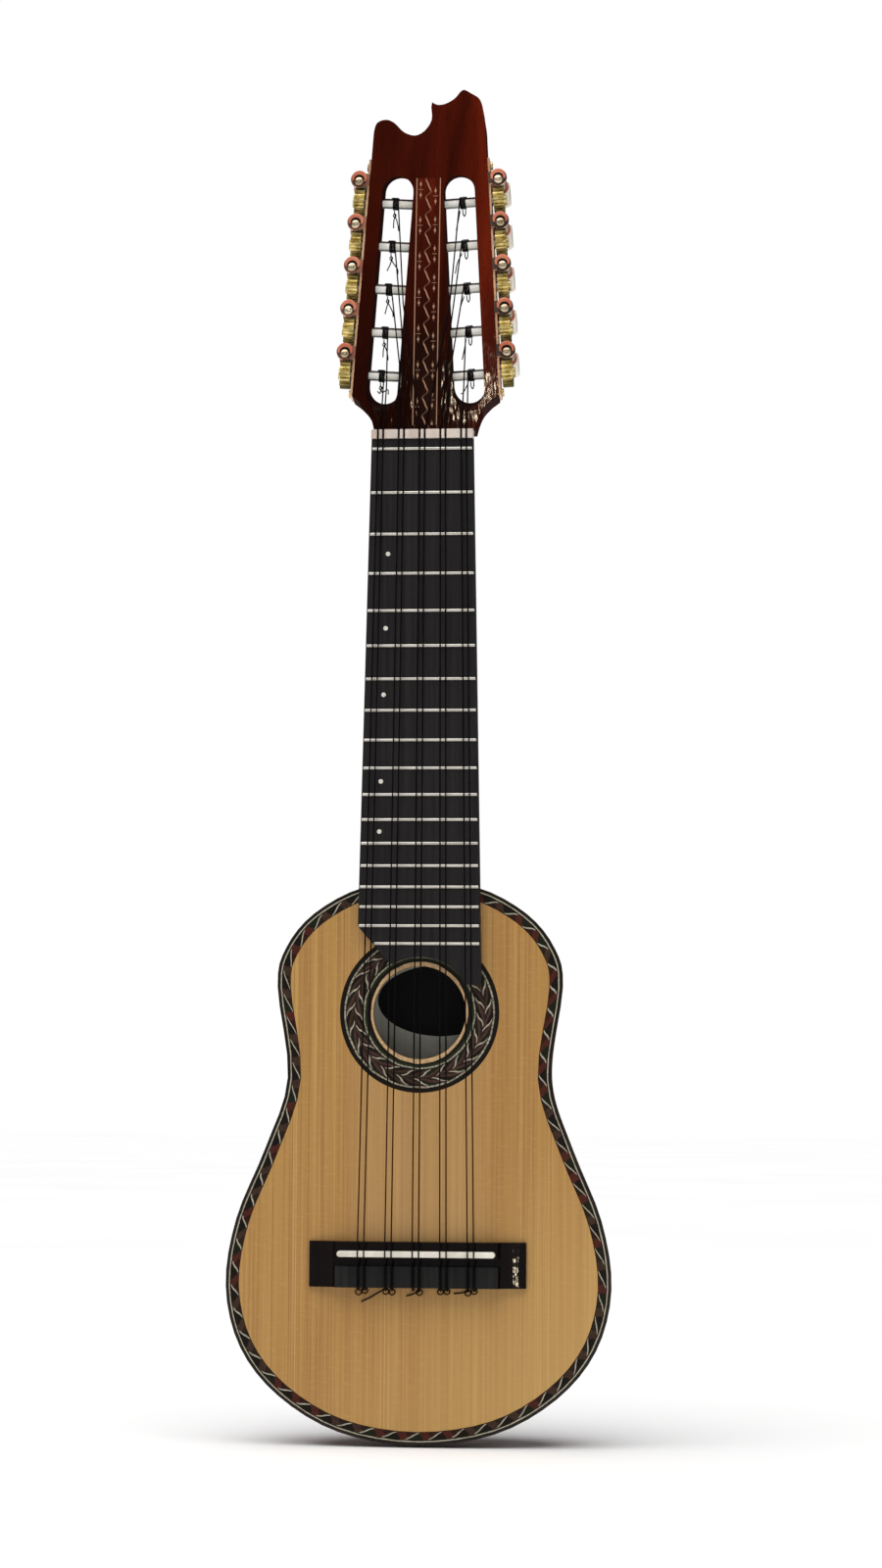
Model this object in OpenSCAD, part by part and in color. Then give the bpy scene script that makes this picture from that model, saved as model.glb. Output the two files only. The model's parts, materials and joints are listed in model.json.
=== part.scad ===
// Charango: a ten-string lute with a carved bowl body, a slotted head and geared tuners.
// The instrument hangs upright by its head. +Z runs up the neck, +X is to the right seen from
// the front, and the soundboard faces -Y. The origin is on the centre line at the zero fret,
// half way through the neck, where a hanger's fork holds it.

/* [Fretboard] */
// Zero fret to saddle, before compensation
scale_length = 370; // [350:1:390]
// Width of the fretboard at the zero fret
board_w_nut = 47.8; // [46:0.1:50]
// Width of the fretboard where the neck meets the body
board_w_joint = 56; // [54:0.1:58]
// Thickness of the fretboard
board_t = 6; // [5:0.1:7]
// Number of frets after the zero fret
fret_count = 17; // [15:1:17]
// Width of a fret's crown
fret_w = 1.6; // [1.4:0.1:2]
// Diameter of a position dot
dot_d = 2.1; // [1.8:0.1:3]

/* [Body] */
// Length of the body
body_len = 255.6; // [250:0.1:262]
// Half width at the upper bout
upper_half = 66.3; // [64:0.1:69]
// Half width at the waist
waist_half = 61.1; // [59:0.1:63]
// Half width at the lower bout
lower_half = 89; // [86:0.1:92]
// Depth from the soundboard's face to the back
body_depth = 68; // [62:1:74]
// Thickness of the carved wall
wall_t = 5; // [4:0.5:6]
// Thickness of the soundboard
top_t = 2.6; // [2.4:0.1:3]
// Width of the dark binding round the edge
binding_w = 1.5; // [1.3:0.1:2]
// Width of the inlaid border inside the binding
purfling_w = 4.7; // [4:0.1:5.5]
// Diameter of the soundhole
hole_d = 43; // [41:0.5:44]
// Outer diameter of the rosette
rosette_d = 74; // [70:0.5:76]

/* [Bridge] */
// Length of the bridge across the body
bridge_len = 100; // [96:0.5:104]
// Length of the raised middle of the bridge
bridge_block = 74.6; // [72:0.2:78]
// Height of the strings over the soundboard at the saddle
saddle_h = 11.6; // [11:0.1:12.5]
// Distance between neighbouring courses at the bridge
course_bridge = 12.6; // [12:0.1:13]
// Distance between neighbouring courses at the nut
course_nut = 9.75; // [9.4:0.05:10]
// Diameter of a string
string_d = 0.66; // [0.5:0.02:0.8]

/* [Head] */
// Angle at which the head leans back
head_angle = 6; // [4:0.5:9]
// Thickness of the head
head_t = 13; // [12:0.5:14]
// Half width of the head at its shoulders
shoulder_half = 34.5; // [33.5:0.1:35.5]
// Angle between a side of the head and the centre line
rail_angle = 3.4; // [3:0.1:3.8]
// Width of a side rail, outside its slot
rail_w = 6.5; // [6:0.1:7]
// Width of a string slot
slot_w = 14.8; // [14:0.1:15.4]

/* [Tuners] */
// Distance between neighbouring rollers
tuner_pitch = 21.4; // [21.2:0.1:22.4]
// Number of teeth on a gear, driven by a single-start worm
gear_teeth = 14; // [14]
// Module of the gear's teeth
gear_module = 0.9; // [0.9]
// Diameter of a roller
roller_d = 4.8; // [4.4:0.1:5]
// Diameter of a worm's shaft
shaft_d = 3; // [2.6:0.1:3.2]
// Loops of string wound on each roller
winding_loops = 2.5; // [1.5:0.5:3]

/* [Hidden] */
$fn = 48;
TUNERS = 5;
SIDES = ["left", "right"];
TUNER_PIECES = ["worm", "button", "gear", "roller"];

// Small gaps: pieces glued or pressed together, running shafts, and pieces that pass each other
glue_gap = 0.02;
running_gap = 0.05;
free_gap = 0.3;

// Heights through the instrument, from the front to the back
face_y = -10;
top_y = face_y + board_t;
rim_y = top_y + top_t;
back_y = top_y + body_depth;
inlay_t = 0.8;

// Frets follow equal temperament
function fret_z(n) = -scale_length * (1 - pow(2, -n / 12));
joint_fret = 14;
joint_z = fret_z(joint_fret);
nut_bottom_z = 4.8;
nut_top_z = 9.1;
function board_half(z) =
    board_w_nut / 2 + (board_w_joint - board_w_nut) / 2 * z / joint_z;

// Smooth curves through a few points, whose first and last ones only set the end directions
function curve_point(a, b, c, d, t) =
    0.5 * (2 * b + (c - a) * t + (2 * a - 5 * b + 4 * c - d) * t * t
        + (3 * b - a - 3 * c + d) * t * t * t);
function curve(p, n) = concat(
    [for (i = [1:len(p) - 3], k = [0:n - 1]) curve_point(p[i - 1], p[i], p[i + 1], p[i + 2], k / n)],
    [p[len(p) - 2]]);
function mirrored(p) = [for (i = [len(p) - 1:-1:0]) [-p[i][0], p[i][1]]];

// Body outline, x and z from the neck joint: half of it by hand, the other half mirrored
joint_half = 27;
body_side = [
    [5, 0], [joint_half, 0], [49.5, -12], [62.5, -28], [upper_half, -46], [waist_half, -88],
    [71.2, -120.5], [84.4, -153], [lower_half, -184], [82, -212], [64, -234], [36, -250],
    [0, -body_len], [-36, -250]];
curve_steps = 4;
half_outline = curve(body_side, curve_steps);
outline = [for (p = concat(half_outline, [for (i = [1:len(half_outline) - 1]) mirrored(half_outline)[i]]))
    [p[0], p[1] + joint_z]];
// The outline runs clockwise, so its inside is on the right of each step
function inset(p, d) = [for (i = [0:len(p) - 1])
    let (step = p[(i + 1) % len(p)] - p[(i + len(p) - 1) % len(p)])
    p[i] + d * [step[1], -step[0]] / norm(step)];
hole_z = joint_z - 57.8;

// Bowl: rings of the outline that close in towards a flattened back
bowl_levels = 8;
bowl_flat = 0.45;
bowl_mid_z = joint_z - 125;
heel_depth = 40;
shoulder_pull = 0.35;
function bowl_side_scale(a) = 1 - (1 - bowl_flat) * (1 - cos(a));
function bowl_top_scale(d, depth) = d <= heel_depth ? 1
    : 1 - shoulder_pull * (1 - sqrt(max(0, 1 - pow((d - heel_depth) / (depth - heel_depth), 2))));
function bowl_ring(p, a, depth) =
    let (k = bowl_side_scale(a), d = depth * sin(a), t = bowl_top_scale(d, depth))
    [for (q = p) [q[0] * k, rim_y + d,
        bowl_mid_z + (q[1] - bowl_mid_z) * (q[1] > bowl_mid_z ? t : k)]];
function bowl_shell(p, depth) =
    [for (j = [0:bowl_levels]) each bowl_ring(p, 90 * j / bowl_levels, depth)];

// Neck: half width follows the fretboard, and the depth under it swells into the heel
neck_depths = [
    [nut_top_z, 9], [0, 11], [-14, 14], [-40, 15], [-90, 16], [joint_z + 65, 17],
    [joint_z + 40, 18.5], [joint_z + 25, 22], [joint_z + 15, 27], [joint_z + 7, 33.5],
    [joint_z, heel_depth - top_t - 2]];
neck_sides = 12;
neck_roundness = 0.75;

// Head: its own frame starts at the nut, with z along the head and y into it
head_shift = 0.8;
head_y = face_y + 2;
head_z = nut_top_z + 0.5;
shoulder_s = 16.5;
edge_top_right = 150;
edge_top_left = 146.5;
slot_bottom = 11;
slot_top = 126;
bottom_lean = 26;
top_lean = 17;
inlay_strip_w = 12;
inlay_strip_bottom = 2;
inlay_strip_top = 124;
inlay_strip_t = 0.6;
function edge_half(s) = shoulder_half - (s - shoulder_s) * tan(rail_angle);
function head_point(x, s, d) = [
    head_shift + x,
    head_y + d * cos(head_angle) + s * sin(head_angle),
    head_z + s * cos(head_angle) - d * sin(head_angle)];
shoulder_curve = curve([
    [board_w_nut / 2, -8], [board_w_nut / 2, 0], [26.4, 8.2], [30.4, 13.2],
    [shoulder_half, shoulder_s], [38, 20]], 4);
// The crest runs from the right edge over a tall horn, a step, a dip and a lower horn
crest_tall = curve([
    [27, 140], [edge_half(edge_top_right), edge_top_right], [25.6, 156.5], [24.9, 160.6], [23.2, 163.9],
    [19.6, 166.3], [16.4, 168.1], [14.5, 167.2], [12.4, 164.5], [9.9, 162.5], [6.8, 161.1],
    [3.7, 160.8], [1, 162.2], [-1.5, 165]], 3);
crest_low = curve([
    [0.5, 165], [0.6, 159.8], [0.9, 153.3], [-2.4, 147.8], [-7, 145.5], [-12.2, 147.3], [-16, 151.2],
    [-18.6, 153.1], [-21.2, 153.7], [-24, 153], [-25.8, 151.2],
    [-edge_half(edge_top_left), edge_top_left], [-27, 140]], 3);
head_outline = concat(shoulder_curve, crest_tall, crest_low, mirrored(shoulder_curve));

// Tuners: a side frame lies on each edge of the head, with x outwards and z up the edge
worm_x = 4.9;
gear_y = head_t / 2;
gear_pitch_r = gear_teeth * gear_module / 2;
gear_tip_r = gear_pitch_r + 0.65;
gear_root_r = gear_pitch_r - 0.95;
gear_tip_w = 0.55;
gear_root_w = 1.3;
gear_inner_x = 2;
gear_outer_x = 7;
gear_bore_r = 1.75;
worm_pitch_r = 2.7;
worm_tip_r = worm_pitch_r + 0.65;
worm_root_r = 1.8;
worm_tip_w = 0.45;
worm_root_w = 1.24;
worm_lead = PI * gear_module;
worm_turns = 3.2;
worm_steps = 14;
centre_gap = worm_pitch_r + gear_pitch_r + 0.1;
first_roller_z = 12.45;
function roller_z(k) = first_roller_z + (k - 1) * tuner_pitch;
function worm_z(k) = roller_z(k) + centre_gap;
plate_t = 1.2;
plate_front = 1.6;
plate_bottom = 0.6;
plate_top = worm_z(TUNERS) + 11;
ear_t = 1.5;
ear_r = 4.1;
ear_front = -0.6;
ear_back = head_t - ear_front - ear_t;
screw_z = [plate_bottom + 2.2, plate_top - 2.6];
roller_end = rail_w + slot_w + 3.5;
button_y = head_t + 2.2;
button_len = 14;
button_half_t = 4.2;
shaft_end = button_y + 11;

// Strings: the five of the left half, from the outermost inwards, and their rollers
string_r = string_d / 2;
saddle_t = 2.8;
saddle_front_z = -scale_length - 2.2;
saddle_back_z = saddle_front_z - saddle_t;
saddle_y = top_y - saddle_h;
bridge_front_z = saddle_front_z + 4.1;
groove_back_z = saddle_back_z - 4.2;
bridge_back_z = bridge_front_z - 20.9;
block_h = 8;
tie_block_h = 7.5;
groove_h = 4.5;
string_hole_y = top_y - 5.5;
string_hole_r = 0.6;
pair_bridge = 2.9;
pair_nut = 2.45;
function string_x(k, course, pair) = (floor(k / 2) - 2) * course + (k % 2 - 0.5) * pair;
nut_slot_w = 1.1;
winding_x = -14;
winding_pitch = 1.12;
winding_r = roller_d / 2 + string_r + 0.04;
winding_rings = 24;
// Where each string first bends over the slot's edge: x from the centre line, and s
edge_bends = [[20.1, 12], [18.2, 20], [12.3, 32], [11.4, 48], [11.1, 62]];

// A solid between two heights, from a flat shape drawn in x and z
module slab(y0, y1) {
    translate([0, y1, 0]) rotate([90, 0, 0]) linear_extrude(y1 - y0) children();
}
module rod_x(x0, x1, r) {
    translate([min(x0, x1), 0, 0]) rotate([0, 90, 0]) cylinder(h = abs(x1 - x0), r = r);
}
module rod_y(y0, y1, r) {
    translate([0, y1, 0]) rotate([90, 0, 0]) cylinder(h = y1 - y0, r = r);
}
module rod_z(z0, z1, r) {
    translate([0, 0, z0]) cylinder(h = z1 - z0, r = r);
}
module box(low, high) {
    translate(low) cube(high - low);
}
module ring_shape(outer_inset, inner_inset) {
    difference() {
        polygon(inset(outline, outer_inset));
        polygon(inset(outline, inner_inset));
    }
}
module head_frame() {
    translate([head_shift, head_y, head_z]) rotate([-head_angle, 0, 0]) children();
}
module side_frame(side) {
    head_frame() translate([side * shoulder_half, 0, shoulder_s])
        rotate([0, -side * rail_angle, 0]) children();
}

// A round tube along a path, as one closed solid
function unit(v) = v / norm(v);
function path_step(p, i) =
    unit(p[min(i + 1, len(p) - 1)] - p[i] + (p[i] - p[max(i - 1, 0)]));
function tube_points(p, r, sides) = [for (i = [0:len(p) - 1])
    let (along = path_step(p, i), across = unit(cross(along, [1, 0, 0])), up = cross(along, across))
    for (k = [0:sides - 1]) p[i] + r * (cos(360 * k / sides) * across + sin(360 * k / sides) * up)];
function tube_faces(rings, sides) = concat(
    [for (i = [0:rings - 2], k = [0:sides - 1])
        let (a = i * sides + k, b = i * sides + (k + 1) % sides)
        each [[a, b + sides, b], [a, a + sides, b + sides]]],
    [for (k = [1:sides - 2]) [0, k, k + 1]],
    [for (k = [1:sides - 2]) let (e = (rings - 1) * sides) [e, e + k + 1, e + k]]);
module tube(p, r, sides) {
    polyhedron(tube_points(p, r, sides), tube_faces(len(p), sides));
}

module body_bowl() {
    n = len(outline);
    shell = n * (bowl_levels + 1);
    last = n * bowl_levels;
    inside = inset(outline, wall_t);
    depth = back_y - rim_y;
    points = concat(bowl_shell(outline, depth), bowl_shell(inside, depth - wall_t),
        [[0, back_y, bowl_mid_z], [0, back_y - wall_t, bowl_mid_z]]);
    walls = [for (j = [0:bowl_levels - 1], i = [0:n - 1])
        let (a = j * n + i, b = j * n + (i + 1) % n)
        each [[a, a + n, b + n], [a, b + n, b],
            [a + shell, b + n + shell, a + n + shell], [a + shell, b + shell, b + n + shell]]];
    rim = [for (i = [0:n - 1]) let (b = (i + 1) % n)
        each [[i, b, b + shell], [i, b + shell, i + shell]]];
    caps = [for (i = [0:n - 1]) let (a = last + i, b = last + (i + 1) % n)
        each [[2 * shell, b, a], [2 * shell + 1, a + shell, b + shell]]];
    color("saddlebrown") polyhedron(points, concat(walls, rim, caps));
}

module soundboard() {
    color("peru") difference() {
        slab(top_y, rim_y) polygon(inset(outline, binding_w));
        slab(top_y - 1, top_y + inlay_t) ring_shape(binding_w - 1, binding_w + purfling_w);
        translate([0, 0, hole_z]) rod_y(top_y - 1, rim_y + 1, hole_d / 2);
        translate([0, 0, hole_z]) rod_y(top_y - 1, top_y + inlay_t, rosette_d / 2);
    }
}

module rosette() {
    color("wheat") translate([0, 0, hole_z]) difference() {
        rod_y(top_y, top_y + inlay_t, rosette_d / 2);
        rod_y(top_y - 1, top_y + inlay_t + 1, hole_d / 2);
    }
}

module edge_binding() {
    color("#2a1610") slab(top_y, rim_y) ring_shape(0, binding_w);
}

module edge_purfling() {
    color("ivory") slab(top_y, top_y + inlay_t) ring_shape(binding_w, binding_w + purfling_w);
}

// Two harmonic bars across the soundboard and three fan struts below the soundhole
module soundboard_braces() {
    bar_w = 7;
    bar_h = 10;
    strut_h = 6;
    color("burlywood") {
        for (bar = [[49, joint_z - 22], [53, joint_z - 96]])
            slab_bar(bar[0], bar[1], bar_w, bar_h);
        for (side = [-1:1])
            translate([side * 22, rim_y, joint_z - 165]) rotate([0, side * 10, 0])
                box([-2.5, 0, -50], [2.5, strut_h, 50]);
    }
}
module slab_bar(half, z, w, h) {
    end_h = 3;
    taper = 20;
    translate([0, 0, z - w / 2]) linear_extrude(w)
        polygon([[-half, rim_y], [half, rim_y], [half, rim_y + end_h], [half - taper, rim_y + h],
            [taper - half, rim_y + h], [-half, rim_y + end_h]]);
}

module neck() {
    n = neck_sides + 1;
    rings = len(neck_depths);
    // The end at the head is cut square to the head, and the other end is the body joint
    points = [for (j = [0:rings - 1]) let (z = neck_depths[j][0], depth = neck_depths[j][1])
        for (i = [0:neck_sides])
            let (a = 180 * i / neck_sides, y = top_y + depth * pow(sin(a), neck_roundness))
            [board_half(z) * cos(a), y,
             j == 0 ? head_z - (y - head_y) * tan(head_angle) : z]];
    walls = [for (j = [0:rings - 2], i = [0:n - 1])
        let (a = j * n + i, b = j * n + (i + 1) % n)
        each [[a, b, b + n], [a, b + n, a + n]]];
    caps = [for (i = [1:n - 2]) let (e = (rings - 1) * n)
        each [[0, i + 1, i], [e, e + i, e + i + 1]]];
    color("#5a1a12") polyhedron(points, concat(walls, caps));
}

// The end of the board is cut round the soundhole, with a slanted corner on the left
board_tail_z = joint_z - 45;
board_cut = [[-27.8, joint_z - 18.2], [-14.4, joint_z - 34.4]];
board_arc_r = hole_d / 2 + 4.1;
module fretboard() {
    color("#1c1512") difference() {
        slab(face_y, top_y) difference() {
            polygon([
                [-board_half(nut_bottom_z), nut_bottom_z], [board_half(nut_bottom_z), nut_bottom_z],
                [board_half(board_tail_z), board_tail_z], [0, board_tail_z],
                board_cut[1], [-board_half(board_cut[0][1]), board_cut[0][1]]]);
            translate([0, hole_z]) circle(r = board_arc_r);
        }
        dot_rods(dot_d / 2 + glue_gap, 1);
    }
}

dot_frets = [3, 5, 7, 10, 12];
dot_depth = 1.5;
module dot_rods(r, above) {
    for (n = dot_frets) {
        z = (fret_z(n - 1) + fret_z(n)) / 2;
        translate([-14.5 + 0.0237 * z, 0, z]) rod_y(face_y - above, face_y + dot_depth, r);
    }
}
module position_dots() {
    color("ivory") dot_rods(dot_d / 2, 0);
}

// Each fret is a half-round bar that stops short of the board's edges
function cut_x(z) = board_cut[0][0]
    + (board_cut[0][1] - z) * (board_cut[1][0] - board_cut[0][0]) / (board_cut[0][1] - board_cut[1][1]);
function fret_left(z) = z > board_cut[0][1] ? -board_half(z) : cut_x(z);
module frets() {
    end_gap = 0.4;
    color("silver") for (n = [0:fret_count]) {
        z = fret_z(n);
        left = fret_left(z) + end_gap;
        right = board_half(z) - end_gap;
        translate([left, face_y, z]) rotate([90, 0, 90]) linear_extrude(right - left)
            intersection() {
                circle(d = fret_w);
                translate([-fret_w, -fret_w / 2]) square([fret_w, fret_w]);
            }
    }
}

module nut() {
    nut_rise = 1.4;
    slot_y = face_y - 0.2;
    color("ivory") difference() {
        box([-board_w_nut / 2, face_y - nut_rise, nut_bottom_z], [board_w_nut / 2, top_y, nut_top_z]);
        for (k = [0:2 * TUNERS - 1]) {
            x = string_x(k, course_nut, pair_nut);
            box([x - nut_slot_w / 2, face_y - 3, nut_bottom_z - 1],
                [x + nut_slot_w / 2, slot_y, nut_top_z + 1]);
        }
    }
}

// A long hole with round ends, along z
module slot_shape(w, low, high) {
    translate([0, low + w / 2]) circle(d = w);
    translate([0, high - w / 2]) circle(d = w);
    translate([-w / 2, low + w / 2]) square([w, high - low - w]);
}
// One string slot: its ends lean, so that they rise towards the back of the head
module string_slot(side) {
    lean_len = 23;
    lean_w = slot_w - 0.1;
    straight_low = slot_bottom + 7.5;
    straight_high = slot_top - 1;
    translate([-side * (rail_w + slot_w / 2), 0, -shoulder_s]) {
        slab(-1, head_t + 1) slot_shape(slot_w, straight_low, straight_high);
        translate([0, 0, slot_bottom]) rotate([bottom_lean, 0, 0])
            slab(-2 * head_t, 3 * head_t) slot_shape(lean_w, 0, lean_len);
        translate([0, 0, slot_top]) rotate([top_lean, 0, 0])
            slab(-2 * head_t, 3 * head_t) slot_shape(lean_w, -lean_len, 0);
    }
}
module headstock() {
    ramp_len = 9;
    ramp_angle = 28;
    color("#4a120c") difference() {
        head_frame() slab(0, head_t) polygon(head_outline);
        head_frame() box([-inlay_strip_w / 2, -1, inlay_strip_bottom],
            [inlay_strip_w / 2, inlay_strip_t, inlay_strip_top]);
        for (side = [-1, 1]) side_frame(side) {
            string_slot(side);
            translate([-side * (rail_w + slot_w / 2), 0, slot_bottom - shoulder_s - 1.4])
                rotate([-ramp_angle, 0, 0]) box([-4, -6, 0], [4, 0, ramp_len]);
            for (k = [1:TUNERS]) translate([0, gear_y, roller_z(k)])
                rod_x(side, -side * (roller_end + 0.5), roller_d / 2 + running_gap);
            for (z = screw_z) translate([0, gear_y, z]) rod_x(side, -side * 5.6, 1.02);
        }
    }
}

module head_inlay() {
    color("wheat") head_frame()
        box([glue_gap - inlay_strip_w / 2, 0, inlay_strip_bottom + glue_gap],
            [inlay_strip_w / 2 - glue_gap, inlay_strip_t, inlay_strip_top - glue_gap]);
}

// The wings of the bridge dip in a shallow scoop on both sides of the raised block
module bridge() {
    wing_h = 3.2;
    wing_tip_h = 2.4;
    half = bridge_len / 2;
    block = bridge_block / 2;
    scoop = curve([[block - 2, 14], [block, block_h], [block + 1.6, wing_h + 1.4], [block + 5, wing_h],
        [half - 2, wing_tip_h + 0.2], [half, wing_tip_h - 0.8], [half + 2, 0]], 3);
    profile = concat([[half, 0]], [for (i = [len(scoop) - 1:-1:0]) scoop[i]],
        [for (p = scoop) [-p[0], p[1]]], [[-half, 0]]);
    color("#120d0c") difference() {
        translate([0, 0, bridge_back_z]) linear_extrude(bridge_front_z - bridge_back_z)
            polygon([for (p = profile) [p[0], top_y - p[1]]]);
        box([-block - 9, top_y - 20, groove_back_z],
            [block + 9, top_y - groove_h, saddle_back_z - 0.4]);
        box([-block - 9, top_y - 20, bridge_back_z - 1],
            [block + 9, top_y - tie_block_h, groove_back_z]);
        box([-block + 0.9, saddle_slot_y, saddle_back_z - glue_gap] + [0, -20, 0],
            [block - 0.9, saddle_slot_y, saddle_front_z + glue_gap]);
        for (k = [0:2 * TUNERS - 1]) translate([string_x(k, course_bridge, pair_bridge), string_hole_y, 0])
            rod_z(bridge_back_z - 1, groove_back_z + 1, string_hole_r);
    }
}
saddle_slot_y = top_y - groove_h + 0.5;

module saddle() {
    half = bridge_block / 2 - 1;
    color("ivory") slab(saddle_y, saddle_slot_y) {
        end_r = saddle_t / 2;
        for (x = [end_r - half, half - end_r])
            translate([x, saddle_back_z + end_r]) circle(r = end_r);
        translate([end_r - half, saddle_back_z]) square([2 * (half - end_r), saddle_t]);
    }
}

// A string runs from the tie block over the saddle, zero fret and nut, and ends beside its roller
module strings() {
    saddle_top = saddle_y - string_r - glue_gap;
    fret_top = face_y - fret_w / 2 - string_r - glue_gap;
    nut_slot = face_y - 0.2 - string_r - glue_gap - 0.05;
    edge_d = -string_r - 0.25;
    stop_s = 4.4;
    roller_top_d = gear_y - winding_r - 0.2;
    color("#16120f") for (k = [0:2 * TUNERS - 1]) {
        side = k < TUNERS ? -1 : 1;
        t = k < TUNERS ? k : 2 * TUNERS - 1 - k;
        x_bridge = string_x(k, course_bridge, pair_bridge);
        x_nut = string_x(k, course_nut, pair_nut);
        x_fret = x_nut + (x_bridge - x_nut) * nut_top_z / scale_length;
        rise = roller_z(t + 1);
        roller_s = shoulder_s + rise * cos(rail_angle) + winding_x * sin(rail_angle);
        roller_x = shoulder_half - rise * sin(rail_angle) + winding_x * cos(rail_angle);
        tube([
            [x_bridge, string_hole_y, bridge_back_z - 1.5],
            [x_bridge, string_hole_y, groove_back_z + 0.5],
            [x_bridge, saddle_top, saddle_back_z - 0.3],
            [x_bridge, saddle_top, saddle_front_z - 0.1],
            [x_fret, fret_top, 0],
            [x_nut, nut_slot, (nut_bottom_z + nut_top_z) / 2],
            [x_nut, nut_slot, nut_top_z],
            head_point(side * edge_bends[t][0], edge_bends[t][1], edge_d),
            head_point(side * roller_x, roller_s - stop_s, roller_top_d)], string_r, 6);
    }
}

// A plate lies on each side of the head, with two ears for every worm
module tuner_plate(side) {
    color("#c9a24a") side_frame(side) difference() {
        union() {
            plate_box(side, plate_front, head_t - plate_front, plate_bottom, plate_top);
            for (k = [1:TUNERS]) {
                plate_box(side, ear_front, head_t - ear_front, worm_z(k) - 3, worm_z(k) + 3);
                for (y = [ear_front, ear_back]) translate([0, 0, worm_z(k)]) {
                    box([side > 0 ? 0 : -worm_x, y, -3], [side > 0 ? worm_x : 0, y + ear_t, 3]);
                    translate([side * worm_x, 0, 0]) rod_y(y, y + ear_t, ear_r);
                }
            }
        }
        for (k = [1:TUNERS]) {
            translate([side * worm_x, 0, worm_z(k)])
                rod_y(ear_front - 1, head_t + 3, shaft_d / 2 + running_gap);
            translate([0, gear_y, roller_z(k)]) rod_x(-side, side * 3, roller_d / 2 + running_gap);
        }
        for (z = screw_z) translate([0, gear_y, z]) rod_x(-side, side * 3, 1.1);
    }
}
module plate_box(side, y0, y1, z0, z1) {
    box([side > 0 ? 0 : -plate_t, y0, z0], [side > 0 ? plate_t : 0, y1, z1]);
}

// Four slotted screws, one at each end of each plate
module plate_screws() {
    head_h = 1.1;
    color("#b08d3c") for (side = [-1, 1], z = screw_z) side_frame(side) translate([0, gear_y, z]) {
        rod_x(side * (plate_t + head_h / 2), -side * 5.4, 1);
        difference() {
            rod_x(side * plate_t, side * (plate_t + head_h), 1.9);
            translate([side * (plate_t + head_h), 0, 0]) cube([head_h, 5, 0.5], center = true);
        }
    }
}

// Right-hand worm: its groove faces the gear's uppermost tooth at rest
function thread_point(t, r, half_w) = [
    r * sin(360 * t), gear_y + worm_lead * t + half_w, r * cos(360 * t)];
module worm_thread() {
    count = round(worm_turns * worm_steps);
    core_r = worm_root_r - 0.25;
    points = [for (i = [0:count]) let (t = worm_turns * (i / count - 0.5))
        each [thread_point(t, core_r, -worm_root_w / 2), thread_point(t, core_r, worm_root_w / 2),
            thread_point(t, worm_tip_r, worm_tip_w / 2), thread_point(t, worm_tip_r, -worm_tip_w / 2)]];
    polyhedron(points, tube_faces(count + 1, 4));
}
module worm(side, k) {
    bearing_gap = ear_front + ear_t + free_gap;
    color("#b9b4a6") side_frame(side) translate([side * worm_x, 0, worm_z(k)]) {
        rod_y(ear_front - 0.5, shaft_end, shaft_d / 2);
        rod_y(bearing_gap, head_t - bearing_gap, worm_root_r);
        worm_thread();
    }
}

// Flat oval knob, pushed on the end of the worm's shaft
module button(side, k) {
    knob = curve([[0, -1], [2.6, 0], [2.7, 1.6], [4.6, 3.6], [6.7, 7.6], [6.1, 11.2], [3.6, 13.5],
        [0, button_len], [-3.6, 13.5]], 2);
    color("#efe3cd") side_frame(side) translate([side * worm_x, button_y, worm_z(k)]) difference() {
        intersection() {
            rotate([-90, 0, 0]) rotate_extrude() polygon(concat([[0, 0]], knob));
            box([-button_half_t, -1, -10], [button_half_t, button_len + 1, 10]);
        }
        rod_y(-1, shaft_end - button_y + 0.5, shaft_d / 2 + glue_gap);
    }
}

module gear_shape() {
    difference() {
        polygon([for (k = [0:gear_teeth - 1], c = [
                [gear_root_r, gear_root_w / 2], [gear_tip_r, gear_tip_w / 2],
                [gear_tip_r, -gear_tip_w / 2], [gear_root_r, -gear_root_w / 2]])
            let (a = 90 - 360 * k / gear_teeth - asin(c[1] / c[0]) * -1)
            c[0] * [cos(a), sin(a)]]);
        circle(r = gear_bore_r + glue_gap);
    }
}
// Gear with the slotted screw that holds it on its roller
module gear(side, k) {
    screw_r = 2.4;
    screw_h = 1;
    color("#c9a24a") side_frame(side) translate([0, gear_y, roller_z(k)]) {
        translate([side > 0 ? gear_inner_x : -gear_outer_x, 0, 0])
            rotate([90, 0, 90]) linear_extrude(gear_outer_x - gear_inner_x) gear_shape();
        difference() {
            rod_x(side * gear_outer_x, side * (gear_outer_x + screw_h), screw_r);
            translate([side * (gear_outer_x + screw_h), 0, 0]) cube([screw_h, 6, 0.6], center = true);
        }
    }
}

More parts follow.
